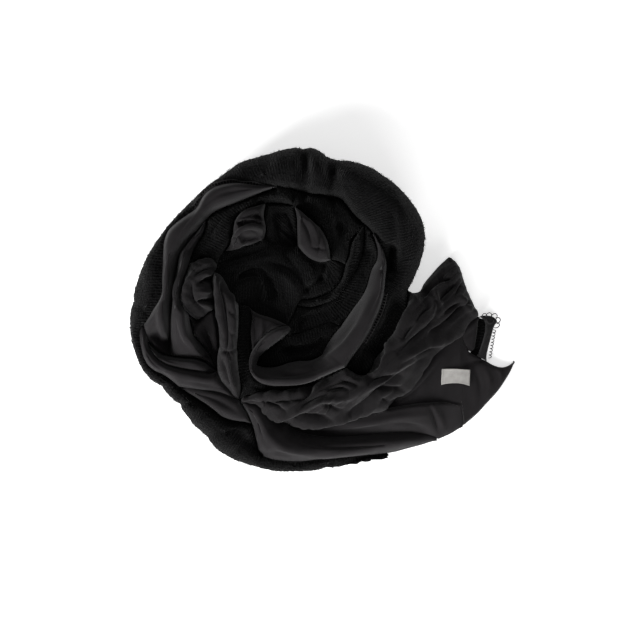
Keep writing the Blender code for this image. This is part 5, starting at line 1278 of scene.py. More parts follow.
def smooth_grid(name, spacing):
    """A stretch's smooth surface: its grid, and the columns of it that aren't skirt."""
    ribbon = Ribbon(name)
    along = ribbon.sections(spacing)
    left, right = ribbon.sides(along)
    heights = smooth_at(ribbon.stops, ribbon.heights, along)
    widths = np.linalg.norm(right[:, :2] - left[:, :2], axis=1)
    body_steps = max(3, int(round((np.percentile(widths, 90) - sum(ribbon.rolls)) / spacing)))
    left_rolls = roll_shares(name, left, heights[:, 0])
    right_rolls = roll_shares(name, right, heights[:, 2])
    left, right = left[:, :3], right[:, :3]
    across = (right[:, :2] - left[:, :2]) / widths[:, None]
    left[:, :2] -= across * (UNDERLAP * (1 - left_rolls))[:, None]
    right[:, :2] += across * (UNDERLAP * (1 - right_rolls))[:, None]
    rows = []
    for start, end, width, (low, middle, high), left_roll, right_roll in zip(
            left, right, widths, heights, left_rolls, right_rolls):
        share, rise = section_shape(width, ribbon.rolls, body_steps)
        rise[:ROLL_STEPS + 1] = 1 - (1 - rise[:ROLL_STEPS + 1]) * left_roll
        rise[-ROLL_STEPS - 1:] = 1 - (1 - rise[-ROLL_STEPS - 1:]) * right_roll
        x = start[0] + (end[0] - start[0]) * share
        y = start[1] + (end[1] - start[1]) * share
        base = start[2] + (end[2] - start[2]) * share
        bulge = 4 * share * (1 - share)
        body = low * (1 - share) + high * share + bulge * (middle - (low + high) / 2)
        body = np.maximum(body + pockets_at(x, y), base + 0.5)
        rows.append(np.column_stack([x, y, base + (body - base) * rise]))
    grid = np.array(rows)
    if name == FOOTED:
        before = foot_rows(left, right, widths)
    else:
        before = skirt(grid[:, 0], True)
    after = skirt(grid[:, -1], False)
    grid = np.concatenate([np.stack(before, axis=1), grid, np.stack(after, axis=1)], axis=1)
    shown = slice(0 if name == FOOTED else len(before), grid.shape[1] - len(after))
    return grid, shown


END_FADE = 4
SIDE_FADE = 3.0


def cloth_grid(name, spacing):
    """A stretch's surface with its folds and fine ridges."""
    grid, shown = smooth_grid(name, spacing)
    normals = unit_normals(grid)
    x, y = grid[..., 0], grid[..., 1]
    inside = np.zeros(grid.shape[:2])
    inside[:, shown] = 1.0
    edge_fade = np.ones(grid.shape[0])
    edge_fade[:END_FADE] = np.linspace(0, 1, END_FADE)
    edge_fade[-END_FADE:] = np.linspace(1, 0, END_FADE)
    columns = np.arange(grid.shape[1])
    last = grid.shape[1] - 1 - len(SKIRT_DROPS)
    first = -3 if name == FOOTED else len(SKIRT_DROPS)
    side_fade = np.clip(np.minimum(columns - first, last - columns) / SIDE_FADE, 0, 1)
    amount = inside * edge_fade[:, None] * side_fade[None, :]
    moved = folds_at(name, x, y)
    if name in RIDGE_RISE:
        moved = moved + fine_ridges(name, x, y)
    grid = grid + normals * (moved * amount)[..., None]
    ends = [np.stack(skirt(grid[0], True), axis=0), grid, np.stack(skirt(grid[-1], False), axis=0)]
    return np.concatenate(ends, axis=0), shown


# %% [markdown]
# ## From a grid to a shell of cloth
#
# The grid becomes a mesh with a UV map that measures the cloth in metres, so that a weave keeps
# its real size and follows every fold. Boucle then takes a Displace modifier for its nubs, and
# every sheet takes a Solidify modifier for the cloth's own thickness.

# %% Meshes from grids
GRIDS = {}
CUTS = {}


def grid_lengths(grid, axis):
    """Distances over the grid's surface along one axis, in metres."""
    steps = np.linalg.norm(np.diff(grid, axis=axis), axis=2)
    before = np.zeros_like(np.take(steps, [0], axis=axis))
    return np.cumsum(np.concatenate([before, steps], axis=axis), axis=axis) * MILLIMETRE


def grid_quads(rows, columns):
    """The corners of a grid's quads, by index."""
    index = np.arange(rows * columns).reshape(rows, columns)
    return np.stack(
        [index[:-1, :-1], index[:-1, 1:], index[1:, 1:], index[1:, :-1]], axis=-1).reshape(-1, 4)


def measure_uv(mesh, places):
    """Gives a mesh the UV map "cloth" from each vertex's place in metres."""
    corner_of_loop = np.empty(len(mesh.loops), np.int32)
    mesh.loops.foreach_get("vertex_index", corner_of_loop)
    uv = mesh.uv_layers.new(name="cloth")
    uv.data.foreach_set("uv", places[corner_of_loop].ravel().astype(np.float32))


def grid_piece(name, grid):
    """A mesh object from a grid of plan points, facing up, with a UV map in metres."""
    rows, columns = grid.shape[:2]
    quads = grid_quads(rows, columns)
    points = to_metres(grid).reshape(-1, 3)
    corners = points[quads]
    facing = np.cross(corners[:, 2] - corners[:, 0], corners[:, 3] - corners[:, 1])
    if facing[:, 2].sum() < 0:
        quads = quads[:, ::-1]
    mesh = bpy.data.meshes.new(name)
    mesh.from_pydata(points.tolist(), [], quads.tolist())
    along = grid_lengths(grid, 0).mean(axis=1, keepdims=True) + np.zeros(grid.shape[:2])
    across = grid_lengths(grid, 1)
    measure_uv(mesh, np.stack([along, across], axis=-1).reshape(-1, 2))
    mesh.shade_smooth()
    piece = bpy.data.objects.new(name, mesh)
    bpy.context.scene.collection.objects.link(piece)
    return piece


def only(piece):
    """Makes a piece the one that operators act on."""
    bpy.ops.object.select_all(action="DESELECT")
    piece.select_set(True)
    bpy.context.view_layer.objects.active = piece


def apply_modifiers(piece):
    only(piece)
    for modifier in list(piece.modifiers):
        bpy.ops.object.modifier_apply(modifier=modifier.name)


# %% Nubs and wall
NUB_SIZE = 0.0023
NUB_HEIGHT = 0.0011
SLUB_SIZE = 0.011
SLUB_HEIGHT = 0.0012
LOWEST = 0.0002


def noise_texture(name, kind, size):
    texture = bpy.data.textures.new(name, kind)
    texture.noise_scale = size
    return texture


NUBS = noise_texture("nubs", "VORONOI", NUB_SIZE)
SLUBS = noise_texture("slubs", "CLOUDS", SLUB_SIZE)


def roughen(piece, texture, height):
    """Moves a piece's surface in and out by a texture."""
    displace = piece.modifiers.new("surface", "DISPLACE")
    displace.texture = texture
    displace.texture_coords = "LOCAL"
    displace.strength = height
    displace.mid_level = 0.5


def give_wall(piece, thickness):
    """The cloth's own thickness, inwards."""
    solidify = piece.modifiers.new("wall", "SOLIDIFY")
    solidify.thickness = thickness
    solidify.offset = -1.0
    solidify.use_even_offset = False


def keep_above_table(piece):
    """Lifts what the wall or a fold pushed under the table."""
    for vertex in piece.data.vertices:
        vertex.co.z = max(vertex.co.z, LOWEST)


def edit_all(piece, *steps):
    """Runs edit mode steps on the whole of a piece."""
    only(piece)
    bpy.ops.object.mode_set(mode="EDIT")
    bpy.ops.mesh.select_all(action="SELECT")
    for step in steps:
        step()
    bpy.ops.object.mode_set(mode="OBJECT")


def face_outwards():
    bpy.ops.mesh.normals_make_consistent(inside=False)


# %% [markdown]
# ## Materials
#
# All the cloth is black, so the cloths differ by how light catches them. Boucle is a mass of
# small loops: it swallows light. Crepe is a fine twisted weave with a soft sheen that lights up
# its folds where the surface turns away. One node group makes the small uneven tones and
# heights that every cloth shares, and each material sets its own sizes.

# %% The shared grain of cloth
def link_all(tree, pairs):
    for source, target in pairs:
        tree.links.new(source, target)


def make_grain_group():
    """A node group: a cloth's fine height and its slow tone, from places and two sizes."""
    group = bpy.data.node_groups.new("Cloth grain", "ShaderNodeTree")
    for name, way, kind in (
        ("Places", "INPUT", "Vector"),
        ("Grain", "INPUT", "Float"),
        ("Patches", "INPUT", "Float"),
        ("Height", "OUTPUT", "Float"),
        ("Tone", "OUTPUT", "Float"),
    ):
        group.interface.new_socket(name, in_out=way, socket_type=f"NodeSocket{kind}")
    nodes = group.nodes
    given = nodes.new("NodeGroupInput")
    result = nodes.new("NodeGroupOutput")
    fine = nodes.new("ShaderNodeTexNoise")
    fine.inputs["Detail"].default_value = 3.0
    fine.inputs["Roughness"].default_value = 0.65
    cells = nodes.new("ShaderNodeTexVoronoi")
    cells.feature = "F1"
    patches = nodes.new("ShaderNodeTexNoise")
    patches.inputs["Detail"].default_value = 2.0
    height = nodes.new("ShaderNodeMath")
    height.operation = "SUBTRACT"
    tone = nodes.new("ShaderNodeMath")
    tone.operation = "MULTIPLY_ADD"
    tone.inputs[1].default_value = 0.35
    link_all(group, [
        (given.outputs["Places"], fine.inputs["Vector"]),
        (given.outputs["Places"], cells.inputs["Vector"]),
        (given.outputs["Places"], patches.inputs["Vector"]),
        (given.outputs["Grain"], fine.inputs["Scale"]),
        (given.outputs["Grain"], cells.inputs["Scale"]),
        (given.outputs["Patches"], patches.inputs["Scale"]),
        (fine.outputs["Fac"], height.inputs[0]),
        (cells.outputs["Distance"], height.inputs[1]),
        (fine.outputs["Fac"], tone.inputs[0]),
        (patches.outputs["Fac"], tone.inputs[2]),
        (height.outputs[0], result.inputs["Height"]),
        (tone.outputs[0], result.inputs["Tone"]),
    ])
    return group


GRAIN = make_grain_group()


# %% One cloth material
def cloth_material(name, dark, light, grain, patches, bump, roughness, gloss, sheen,
                   sheen_roughness, rib=0.0, rib_way="X"):
    """A cloth: its darkest and lightest tone, grain sizes per metre, bump, gloss and sheen."""
    material = bpy.data.materials.new(name)
    material.use_nodes = True
    tree = material.node_tree
    nodes = tree.nodes
    shader = nodes["Principled BSDF"]
    for socket, value in (
        ("Roughness", roughness), ("Metallic", 0.0), ("Specular IOR Level", gloss),
        ("Sheen Weight", sheen), ("Sheen Roughness", sheen_roughness),
    ):
        shader.inputs[socket].default_value = value
    places = nodes.new("ShaderNodeUVMap")
    places.uv_map = "cloth"
    cloth = nodes.new("ShaderNodeGroup")
    cloth.node_tree = GRAIN
    cloth.inputs["Grain"].default_value = grain
    cloth.inputs["Patches"].default_value = patches
    ramp = nodes.new("ShaderNodeValToRGB")
    ramp.color_ramp.elements[0].position = 0.35
    ramp.color_ramp.elements[0].color = (*dark, 1)
    ramp.color_ramp.elements[1].position = 0.95
    ramp.color_ramp.elements[1].color = (*light, 1)
    relief = nodes.new("ShaderNodeBump")
    relief.inputs["Distance"].default_value = bump
    relief.inputs["Strength"].default_value = 1.0
    link_all(tree, [
        (places.outputs["UV"], cloth.inputs["Places"]),
        (cloth.outputs["Tone"], ramp.inputs["Fac"]),
        (ramp.outputs["Color"], shader.inputs["Base Color"]),
        (relief.outputs["Normal"], shader.inputs["Normal"]),
    ])
    if rib:
        ribs = nodes.new("ShaderNodeTexWave")
        ribs.bands_direction = rib_way
        ribs.inputs["Scale"].default_value = rib
        ribs.inputs["Distortion"].default_value = 1.5
        both = nodes.new("ShaderNodeMath")
        both.operation = "MULTIPLY_ADD"
        both.inputs[1].default_value = 0.6
        link_all(tree, [
            (places.outputs["UV"], ribs.inputs["Vector"]),
            (ribs.outputs["Fac"], both.inputs[0]),
            (cloth.outputs["Height"], both.inputs[2]),
            (both.outputs[0], relief.inputs["Height"]),
        ])
    else:
        tree.links.new(cloth.outputs["Height"], relief.inputs["Height"])
    return material


# %% The scarf's cloths
BOUCLE = cloth_material(
    "nubby boucle", (0.0007, 0.0007, 0.0008), (0.0030, 0.0029, 0.0030), 480, 60, 0.0011,
    0.95, 0.05, 0.03, 0.6, rib=105)
CREPE = cloth_material(
    "plain crepe", (0.0066, 0.0059, 0.0064), (0.0118, 0.0105, 0.0114), 1500, 45, 0.00012,
    0.85, 0.10, 0.06, 0.5)
SMOCKED = cloth_material(
    "smocked crepe", (0.0058, 0.0052, 0.0056), (0.0104, 0.0094, 0.0101), 1400, 90, 0.00016,
    0.85, 0.10, 0.06, 0.5)
TRIM = cloth_material(
    "trim tape", (0.0050, 0.0048, 0.0050), (0.0140, 0.0132, 0.0137), 900, 120, 0.0004,
    0.9, 0.10, 0.05, 0.5, rib=300, rib_way="Y")
THREAD = cloth_material(
    "black thread", (0.0090, 0.0084, 0.0088), (0.0240, 0.0226, 0.0234), 1600, 200, 0.0002,
    0.75, 0.15, 0.1, 0.4)
LABEL_TAPE = cloth_material(
    "woven label tape", (0.27, 0.262, 0.250), (0.40, 0.388, 0.372), 1400, 150, 0.00018,
    0.85, 0.1, 0.05, 0.5, rib=420, rib_way="Y")

CLOTH_LOOKS = {
    "boucle": (BOUCLE, "boucle"),
    "crepe": (CREPE, "crepe"),
    "smocked crepe": (SMOCKED, "smocked_crepe"),
    "trim": (TRIM, "trim"),
}

# %% [markdown]
# ## Dressing every stretch
#
# One loop makes each stretch's sheet and gives it its cloth. The frame needs the size that the
# cloth was cut to: a sheet is measured over its own surface, and the smocked cloth was cut
# about a seventh larger, because the stitches gather it.

# %% Make the stretches
SPACING = {"boucle": 1.7, "crepe": 1.7, "smocked crepe": 1.1, "trim": 1.0}
FINE_SPACING = {"crepe_ruffle": 0.8, "crepe_bright_petal": 1.0, "crepe_small_petal": 1.2}
WALL = {"boucle": 0.0016, "crepe": 0.0009, "smocked crepe": 0.0011, "trim": 0.0009}
GATHER = {"smocked crepe": 1.15}
SURFACES = {}


def keep_surface(name, grid, shown):
    """Keeps a stretch's grid, and a tree that finds its surface under a plan place."""
    GRIDS[name] = grid[len(SKIRT_DROPS):-len(SKIRT_DROPS), shown]
    SURFACES[name] = BVHTree.FromPolygons(
        grid.reshape(-1, 3).tolist(), grid_quads(*grid.shape[:2]).tolist())


def declare_sheet(piece, grid, gather):
    """Says how large the cloth of a sheet was cut, from the grid's own lengths."""
    length = float(grid_lengths(grid, 0)[-1].mean()) * gather
    area = float(np.linalg.norm(np.cross(
        np.diff(to_metres(grid), axis=0)[:, :-1],
        np.diff(to_metres(grid), axis=1)[:-1]), axis=2).sum()) * gather
    width = max(area / length, 0.01)
    CUTS[piece.name] = (round(width, 4), round(length, 4))


def dress(name):
    cloth = STRETCHES[name][0]
    grid, shown = cloth_grid(name, FINE_SPACING.get(name, SPACING[cloth]))
    keep_surface(name, grid, shown)
    piece = grid_piece(f"{name}_cloth", grid)
    if cloth == "boucle":
        roughen(piece, SLUBS, SLUB_HEIGHT)
        roughen(piece, NUBS, NUB_HEIGHT)
    give_wall(piece, WALL[cloth])
    apply_modifiers(piece)
    keep_above_table(piece)
    material, slot = CLOTH_LOOKS[cloth]
    piece.data.materials.append(material)
    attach(piece, "root")
    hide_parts(name)
    declare_sheet(piece, grid, GATHER.get(cloth, 1.0))
    return piece


STRETCH_PIECES = {name: dress(name) for name in STRETCHES}
print("stretches:", len(STRETCH_PIECES))

# %% [markdown]
# ## The turns underneath
#
# Low on the outside two hidden turns show their edges, one on the other. They are made as two
# rolled bands around the heap. The lower one goes on under the nest, where it lies flat on the
# table. The higher one goes on inwards, under the nest, so that no seam lets light through.

# %% Two bands around the heap
UNDER_STATION = 2.4
WELD_DISTANCE = 0.00002
INWARD_SHARES = (0.15, 0.35, 0.6, 0.8, 1.0)
# Each band's edge, as rows from the outside in or up: how far in from the heap's outline, and
# the share of the heap's height there.
UNDER_LIPS = {
    "under_turn_low": [
        (5.0, 0.0), (3.5, 0.005), (2.2, 0.03), (1.2, 0.08),
        (0.5, 0.16), (0.2, 0.24), (0.5, 0.33), (1.3, 0.41), (2.8, 0.47), (6.0, 0.51),
        (12.0, 0.52)],
    "under_turn_high": [
        (12.0, 0.535), (6.0, 0.53), (3.4, 0.54), (1.8, 0.58), (0.9, 0.66), (0.7, 0.74),
        (1.3, 0.82), (2.6, 0.9), (5.0, 0.96), (9.0, 1.0), (16.0, 1.02)],
}
# Folds around both bands: place along the outline, half width, height, and how far the fold
# leans over from the lower edge to the upper one.
UNDER_FOLD_REACH = 9.0
UNDER_FOLD_DEPTH = 0.5
UNDER_FOLD_RISE = 0.25
LOWEST_FOLD_SHARE = 0.06
LOWEST_ROW = 0.3
UNDER_FOLDS = [
    (30, 4.0, -2.2, 6), (78, 5.0, 1.8, -4), (120, 3.5, -2.6, 8), (171, 6.0, 2.0, 3),
    (214, 4.0, -2.0, -6), (262, 3.5, -2.8, 9), (318, 5.0, 1.8, 5), (352, 3.5, -2.2, -8),
    (398, 5.0, -2.6, 7), (446, 6.0, 2.2, -3), (502, 4.0, -2.2, 8), (547, 3.5, -2.4, -7),
    (604, 5.0, 2.0, 4), (655, 4.0, -2.6, 9), (700, 4.0, -2.0, -5), (752, 6.0, 1.8, 6),
    (801, 4.0, -2.4, 8), (860, 5.0, -2.0, -6), (921, 4.0, -1.6, 5), (984, 5.0, 1.4, 4),
    (1040, 4.0, -1.6, -5), (1102, 4.0, -1.2, 4)]


def heap_line(step):
    """The heap's outline as a smooth closed line, and the directions into it."""
    outline = plan_rows(HEAP_OUTLINE + HEAP_OUTLINE[:1])
    along = lengths_along(outline)
    count = int(round(along[-1] / step))
    line = smooth_at(along, outline, np.linspace(0, along[-1], count + 1))[:-1]
    ahead = np.roll(line, -1, axis=0) - np.roll(line, 1, axis=0)
    ahead /= np.linalg.norm(ahead, axis=1)[:, None]
    into = np.column_stack([-ahead[:, 1], ahead[:, 0]])
    middle = np.array(HEAP_MIDDLE, float)
    far_left = int(np.argmin(line[:, 0]))
    if into[far_left] @ (middle - line[far_left]) < 0:
        into = -into
    return line, into


def inward_rows(ring):
    """Rows from the high band's inner ring to the heap's middle, so that no seam shows light."""
    middle = np.array(HEAP_MIDDLE, float)
    rows = []
    for share in INWARD_SHARES:
        row = ring.copy()
        row[:, :2] += (middle - row[:, :2]) * share
        row[:, 2] = heap_height(row)
        rows.append(row)
    return rows


def under_band(name, lips):
    line, into = heap_line(UNDER_STATION)
    along = np.linspace(0, lengths_along(line)[-1], len(line))
    full = heap_height(line)
    lean = 0.5 * (lips[0][1] + lips[-1][1])
    rows = []
    for inset, share in lips:
        moved = np.zeros(len(line))
        for place, half_width, height, slant in UNDER_FOLDS:
            away = along - place - slant * (share - lean) * 2
            moved += height * np.exp(-((away / half_width) ** 2))
        moved *= np.clip(1 - inset / UNDER_FOLD_REACH, 0, 1)
        inwards = (inset - moved * UNDER_FOLD_DEPTH)[:, None]
        row = np.column_stack([line + into * inwards, full * share])
        rise = moved * UNDER_FOLD_RISE * (share > LOWEST_FOLD_SHARE)
        row[:, 2] = np.maximum(row[:, 2] + rise, LOWEST_ROW)
        rows.append(row)
    if name == "under_turn_high":
        rows += inward_rows(rows[-1])
    return np.stack(rows, axis=1)


def close_underside(piece, ring):
    """Fills the underside of the lowest band with one flat face."""
    shape = bmesh.new()
    shape.from_mesh(piece.data)
    shape.verts.ensure_lookup_table()
    face = shape.faces.new([shape.verts[index] for index in ring])
    if face.normal.z > 0:
        face.normal_flip()
    bmesh.ops.triangulate(shape, faces=[face])
    shape.to_mesh(piece.data)
    shape.free()


def weld_close_points():
    bpy.ops.mesh.remove_doubles(threshold=WELD_DISTANCE)


def make_under_band(name, cloth, flat_below):
    grid = under_band(name, UNDER_LIPS[name])
    closed = np.concatenate([grid, grid[:1]], axis=0)
    piece = grid_piece(name, closed)
    if flat_below:
        close_underside(piece, [row * closed.shape[1] for row in range(len(closed) - 1)])
    edit_all(piece, weld_close_points, face_outwards)
    if cloth == "boucle":
        roughen(piece, NUBS, NUB_HEIGHT)
        apply_modifiers(piece)
    keep_above_table(piece)
    material, slot = CLOTH_LOOKS[cloth]
    piece.data.materials.append(material)
    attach(piece, "root")
    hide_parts("hidden_layers")
    return piece, closed


low_turn, low_grid = make_under_band("under_turn_low", "boucle", True)
high_turn, high_grid = make_under_band("under_turn_high", "crepe", False)
print("underside at", min(v.co.z for v in low_turn.data.vertices))

# %% [markdown]
# ## Lines on the cloth
#
# Hems, stitches, the openwork tape and the loops all lie on a sheet that is already there. A
# line on the cloth is found from above: each plan place is dropped on to the sheet, which gives
# its height and the way that the sheet faces there.

# %% Places on a sheet
HIGH = 200.0
CLOTH_LEVEL = 60.0
DOWN = Vector((0, 0, -1))


def on_cloth(name, places):
    """Plan places dropped on a stretch: points and normals, in plan millimetres."""
    points = []
    normals = []
    for x, y in places:
        spot, normal, _, _ = SURFACES[name].ray_cast(Vector((x, y, HIGH)), DOWN)
        if spot is None:
            spot, normal, _, _ = SURFACES[name].find_nearest(Vector((x, y, CLOTH_LEVEL)))
        points.append(tuple(spot))
        normals.append(tuple(normal if normal.z > 0 else -normal))
    return np.array(points), np.array(normals)


def edge_line(name, side, inset, start=0.0, end=1.0, step=2.0):
    """A line along a stretch, at a distance over the cloth from its left or right crease."""
    grid = GRIDS[name]
    if side == "right":
        grid = grid[:, ::-1]
    normals = unit_normals(grid)
    lengths = grid_lengths(grid, 1) / MILLIMETRE
    line = []
    faces = []
    for row in range(grid.shape[0]):
        line.append([np.interp(inset, lengths[row], grid[row, :, axis]) for axis in range(3)])
        faces.append([np.interp(inset, lengths[row], normals[row, :, axis]) for axis in range(3)])
    line = np.array(line)
    faces = np.array(faces)
    along = np.concatenate([[0], np.cumsum(np.linalg.norm(np.diff(line, axis=0), axis=1))])
    wanted = np.arange(start * along[-1], end * along[-1], step)
    line = np.stack([np.interp(wanted, along, line[:, axis]) for axis in range(3)], axis=1)
    faces = np.stack([np.interp(wanted, along, faces[:, axis]) for axis in range(3)], axis=1)
    faces /= np.linalg.norm(faces, axis=1)[:, None]
    return line, faces


# %% Small parts in one mesh
class Bundle:
    """Gathers many small tubes into one mesh."""

    def __init__(self, name, material, slot):
        self.name = name
        self.material = material
        self.slot = slot
        self.points = []
        self.faces = []

    def tube(self, line, radius, sides=6, flat=1.0, up=None):
        """A closed tube along plan places; flat squashes it along the direction up."""
        line = np.asarray(line, float)
        ahead = np.gradient(line, axis=0)
        ahead /= np.maximum(np.linalg.norm(ahead, axis=1), 1e-9)[:, None]
        up = np.array([0.0, 0.0, 1.0]) if up is None else np.asarray(up, float)
        up = np.broadcast_to(up, line.shape)
        aside = np.cross(ahead, up)
        aside /= np.maximum(np.linalg.norm(aside, axis=1), 1e-9)[:, None]
        rise = np.cross(aside, ahead)
        first = len(self.points)
        for row in range(len(line)):
            for step in range(sides):
                turn = 2 * math.pi * step / sides
                self.points.append(
                    line[row] + aside[row] * radius * math.cos(turn)
                    + rise[row] * radius * flat * math.sin(turn))
        for row in range(len(line) - 1):
            for step in range(sides):
                here = first + row * sides + step
                there = first + row * sides + (step + 1) % sides
                self.faces.append((here, there, there + sides, here + sides))
        self.faces.append(tuple(first + step for step in range(sides))[::-1])
        last = first + (len(line) - 1) * sides
        self.faces.append(tuple(last + step for step in range(sides)))

    def piece(self):
        mesh = bpy.data.meshes.new(self.name)
        points = to_metres(np.array(self.points))
        mesh.from_pydata(points.tolist(), [], self.faces)
        measure_uv(mesh, points[:, :2])
        made = bpy.data.objects.new(self.name, mesh)
        bpy.context.scene.collection.objects.link(made)
        edit_all(made, face_outwards)
        mesh.shade_smooth()
        mesh.materials.append(self.material)
        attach(made, "root")
        return made


STITCH_LIFTS = np.array([-0.35, 0.15, 0.3, 0.15, -0.35])
STITCH_FLATNESS = 0.8
THREAD_SIDES = 6


def stitch_row(bundle, line, faces, length=2.4, gap=1.4, radius=0.28):
    """A row of stitches along a line on the cloth, each a short arc that dips in at its ends."""
    along = np.concatenate([[0], np.cumsum(np.linalg.norm(np.diff(line, axis=0), axis=1))])
    place = gap
    while place + length < along[-1]:
        wanted = np.linspace(place, place + length, len(STITCH_LIFTS))
        spots = np.stack([np.interp(wanted, along, line[:, axis]) for axis in range(3)], axis=1)
        up = np.stack([np.interp(wanted, along, faces[:, axis]) for axis in range(3)], axis=1)
        lifted = spots + up * STITCH_LIFTS[:, None]
        bundle.tube(lifted, radius, THREAD_SIDES, STITCH_FLATNESS, up)
        place += length + gap


# %% Stitches along the hems
hem_thread = Bundle("hem_stitches", THREAD, "crepe")
for name, side, inset, start, end in (
    ("crepe_crescent", "left", 7.5, 0.06, 0.62),
    ("crepe_edge_roll", "right", 9.0, 0.18, 0.92),
    ("crepe_end_panel", "right", 7.0, 0.42, 0.97),
    ("crepe_hem_band", "left", 2.2, 0.05, 0.95),
    ("crepe_end_fold", "left", 3.0, 0.42, 0.9),
):
    stitch_row(hem_thread, *edge_line(name, side, inset, start, end))
hem_thread.piece()

# %% [markdown]
# ## The openwork tape
#
# Boucle and crepe are joined by a narrow tape with a ladder of small holes. It shows as a
# dotted line along the nest's upper rim and down beside the smocked turn. Two cords with rungs
# between them leave real gaps.

# %% Ladders of thread
RUNG_SHARES = (-0.5, -0.2, 0.2, 0.5)
RUNG_BOW = 0.35


def ladder(bundle, line, faces, width=3.6, rung_gap=3.0, lift=0.7, cord=0.5, rung=0.42):
    """Two cords along a line on the cloth with rungs across."""
    ahead = np.gradient(line, axis=0)
    ahead /= np.linalg.norm(ahead, axis=1)[:, None]
    aside = np.cross(ahead, faces)
    raised = line + faces * lift
    for way in (-1, 1):
        bundle.tube(raised + aside * (way * width / 2), cord, THREAD_SIDES, 1.0, faces)
    along = np.concatenate([[0], np.cumsum(np.linalg.norm(np.diff(raised, axis=0), axis=1))])
    for place in np.arange(rung_gap / 2, along[-1], rung_gap):
        spot = np.array([np.interp(place, along, raised[:, axis]) for axis in range(3)])
        over = np.array([np.interp(place, along, aside[:, axis]) for axis in range(3)])
        up = np.array([np.interp(place, along, faces[:, axis]) for axis in range(3)])
        rungs = [spot + over * (share * width) + up * (RUNG_BOW * (1 - 4 * share * share))
                 for share in RUNG_SHARES]
        bundle.tube(rungs, rung, THREAD_SIDES, 1.0, up)


tape = Bundle("openwork_tape", THREAD, "trim")
for name, side, inset, start, end in (
    ("boucle_outer_turn", "right", 3.2, 0.235, 0.36),
    ("boucle_right_turn", "right", 2.6, 0.3, 0.86),
    ("seam_strip", "left", 5.2, 0.02, 0.9),
):
    ladder(tape, *edge_line(name, side, inset, start, end, 1.0))
tape.piece()

# %% [markdown]
# ## The label
#
# A small woven tab, sewn down at its two short ends. Its face is left bare. It is a thin bent
# sheet that lies on the end panel, with a few stitches over its ends.

# %% The label
LABEL_MIDDLE = (457.0, 378.0)
LABEL_SIZE = (29.0, 16.0)
LABEL_TURN = math.radians(2)
LABEL_LIFT = 1.0
LABEL_WALL = 0.0006
LABEL_BOW = 0.6
LABEL_BOW_MORE = 1.8


def label_places(share_x, share_y):
    """Plan places on the label, from shares of its length and width."""
    along = share_x * LABEL_SIZE[0]
    bow = 1 - (2 * share_x) ** 2
    across = share_y * LABEL_SIZE[1] - bow * (LABEL_BOW + LABEL_BOW_MORE * (share_y + 0.5))
    return (
        LABEL_MIDDLE[0] + along * math.cos(LABEL_TURN) - across * math.sin(LABEL_TURN),
        LABEL_MIDDLE[1] + along * math.sin(LABEL_TURN) + across * math.cos(LABEL_TURN))


LABEL_COLUMNS = np.linspace(-0.5, 0.5, 45)
LABEL_ROWS = np.linspace(-0.5, 0.5, 25)
label_rows = []
for share_y in LABEL_ROWS:
    points, _ = on_cloth("crepe_end_panel", [label_places(x, share_y) for x in LABEL_COLUMNS])
    arch = 0.8 * (1 - (2 * LABEL_COLUMNS) ** 2) + 0.25 * np.sin(LABEL_COLUMNS * 9 + share_y * 4)
    curl = 0.5 * (2 * share_y) ** 4
    points[:, 2] = points[:, 2].mean() * 0.35 + points[:, 2] * 0.65 + LABEL_LIFT + arch + curl
    label_rows.append(points)
label_grid = np.array(label_rows)
label = grid_piece("woven_label", label_grid)
give_wall(label, LABEL_WALL)
apply_modifiers(label)
label.data.materials.append(LABEL_TAPE)
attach(label, "root")
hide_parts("label")
declare_sheet(label, label_grid, 1.0)

label_thread = Bundle("label_stitches", LABEL_TAPE, "woven_label")
for share in (-0.465, 0.465):
    for across in np.linspace(-0.42, 0.42, 9):
        column = int(round((share + 0.5) * (len(LABEL_COLUMNS) - 1)))
        row = int(round((across + 0.5) * (len(LABEL_ROWS) - 1)))
        spot = label_grid[row, column]
        line = [spot + (0.0, -0.7, 0.0), spot + (0.1, 0.0, 0.3), spot + (0.0, 0.7, 0.0)]
        label_thread.tube(line, 0.22, 6)
label_thread.piece()

# %% [markdown]
# ## The loop trim
#
# At the corner beside the label the edge is finished with a narrow bound strip and small thread
# loops that stand off it, with light between them.

# %% The fold behind the trim, dark with painted shade
BACKING_HEIGHT = 3.0
BACKING_SIDES = [
    (480.5, 318, 487, 319.5), (480, 326, 489.5, 327), (478.5, 337, 488.5, 338),
    (476.5, 347, 486, 348), (472, 354, 484, 358), (468, 362, 486, 366)]
BACKING_COLUMNS = np.linspace(0, 1, 9)

sides = plan_rows(BACKING_SIDES)
along = lengths_along(sides)
sides = smooth_at(along, sides, np.linspace(0, along[-1], 21))
backing_rows = []
for x0, y0, x1, y1 in sides:
    rise = BACKING_HEIGHT + 1.2 * np.sin(math.pi * BACKING_COLUMNS)
    backing_rows.append(np.column_stack(
        [x0 + (x1 - x0) * BACKING_COLUMNS, y0 + (y1 - y0) * BACKING_COLUMNS, rise]))
backing_grid = np.array(backing_rows)
backing = grid_piece("trim_under_fold", backing_grid)
give_wall(backing, WALL["crepe"])
apply_modifiers(backing)
keep_above_table(backing)
# The boucle material here is painted shade: it makes the fold as dark as the shadowed gap behind
# the trim.
backing.data.materials.append(BOUCLE)
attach(backing, "root")
declare_sheet(backing, backing_grid, 1.0)

# %% Thread loops at the corner
ARCH_POINTS = 11


def arch_line(foot, top, other_foot):
    """A small loop of thread through three places."""
    foot, top, other_foot = (np.array(place, float) for place in (foot, top, other_foot))
    turns = np.linspace(0, math.pi, ARCH_POINTS)[:, None]
    middle = (foot + other_foot) / 2
    return middle + (foot - middle) * np.cos(turns) + (top - middle) * np.sin(turns)


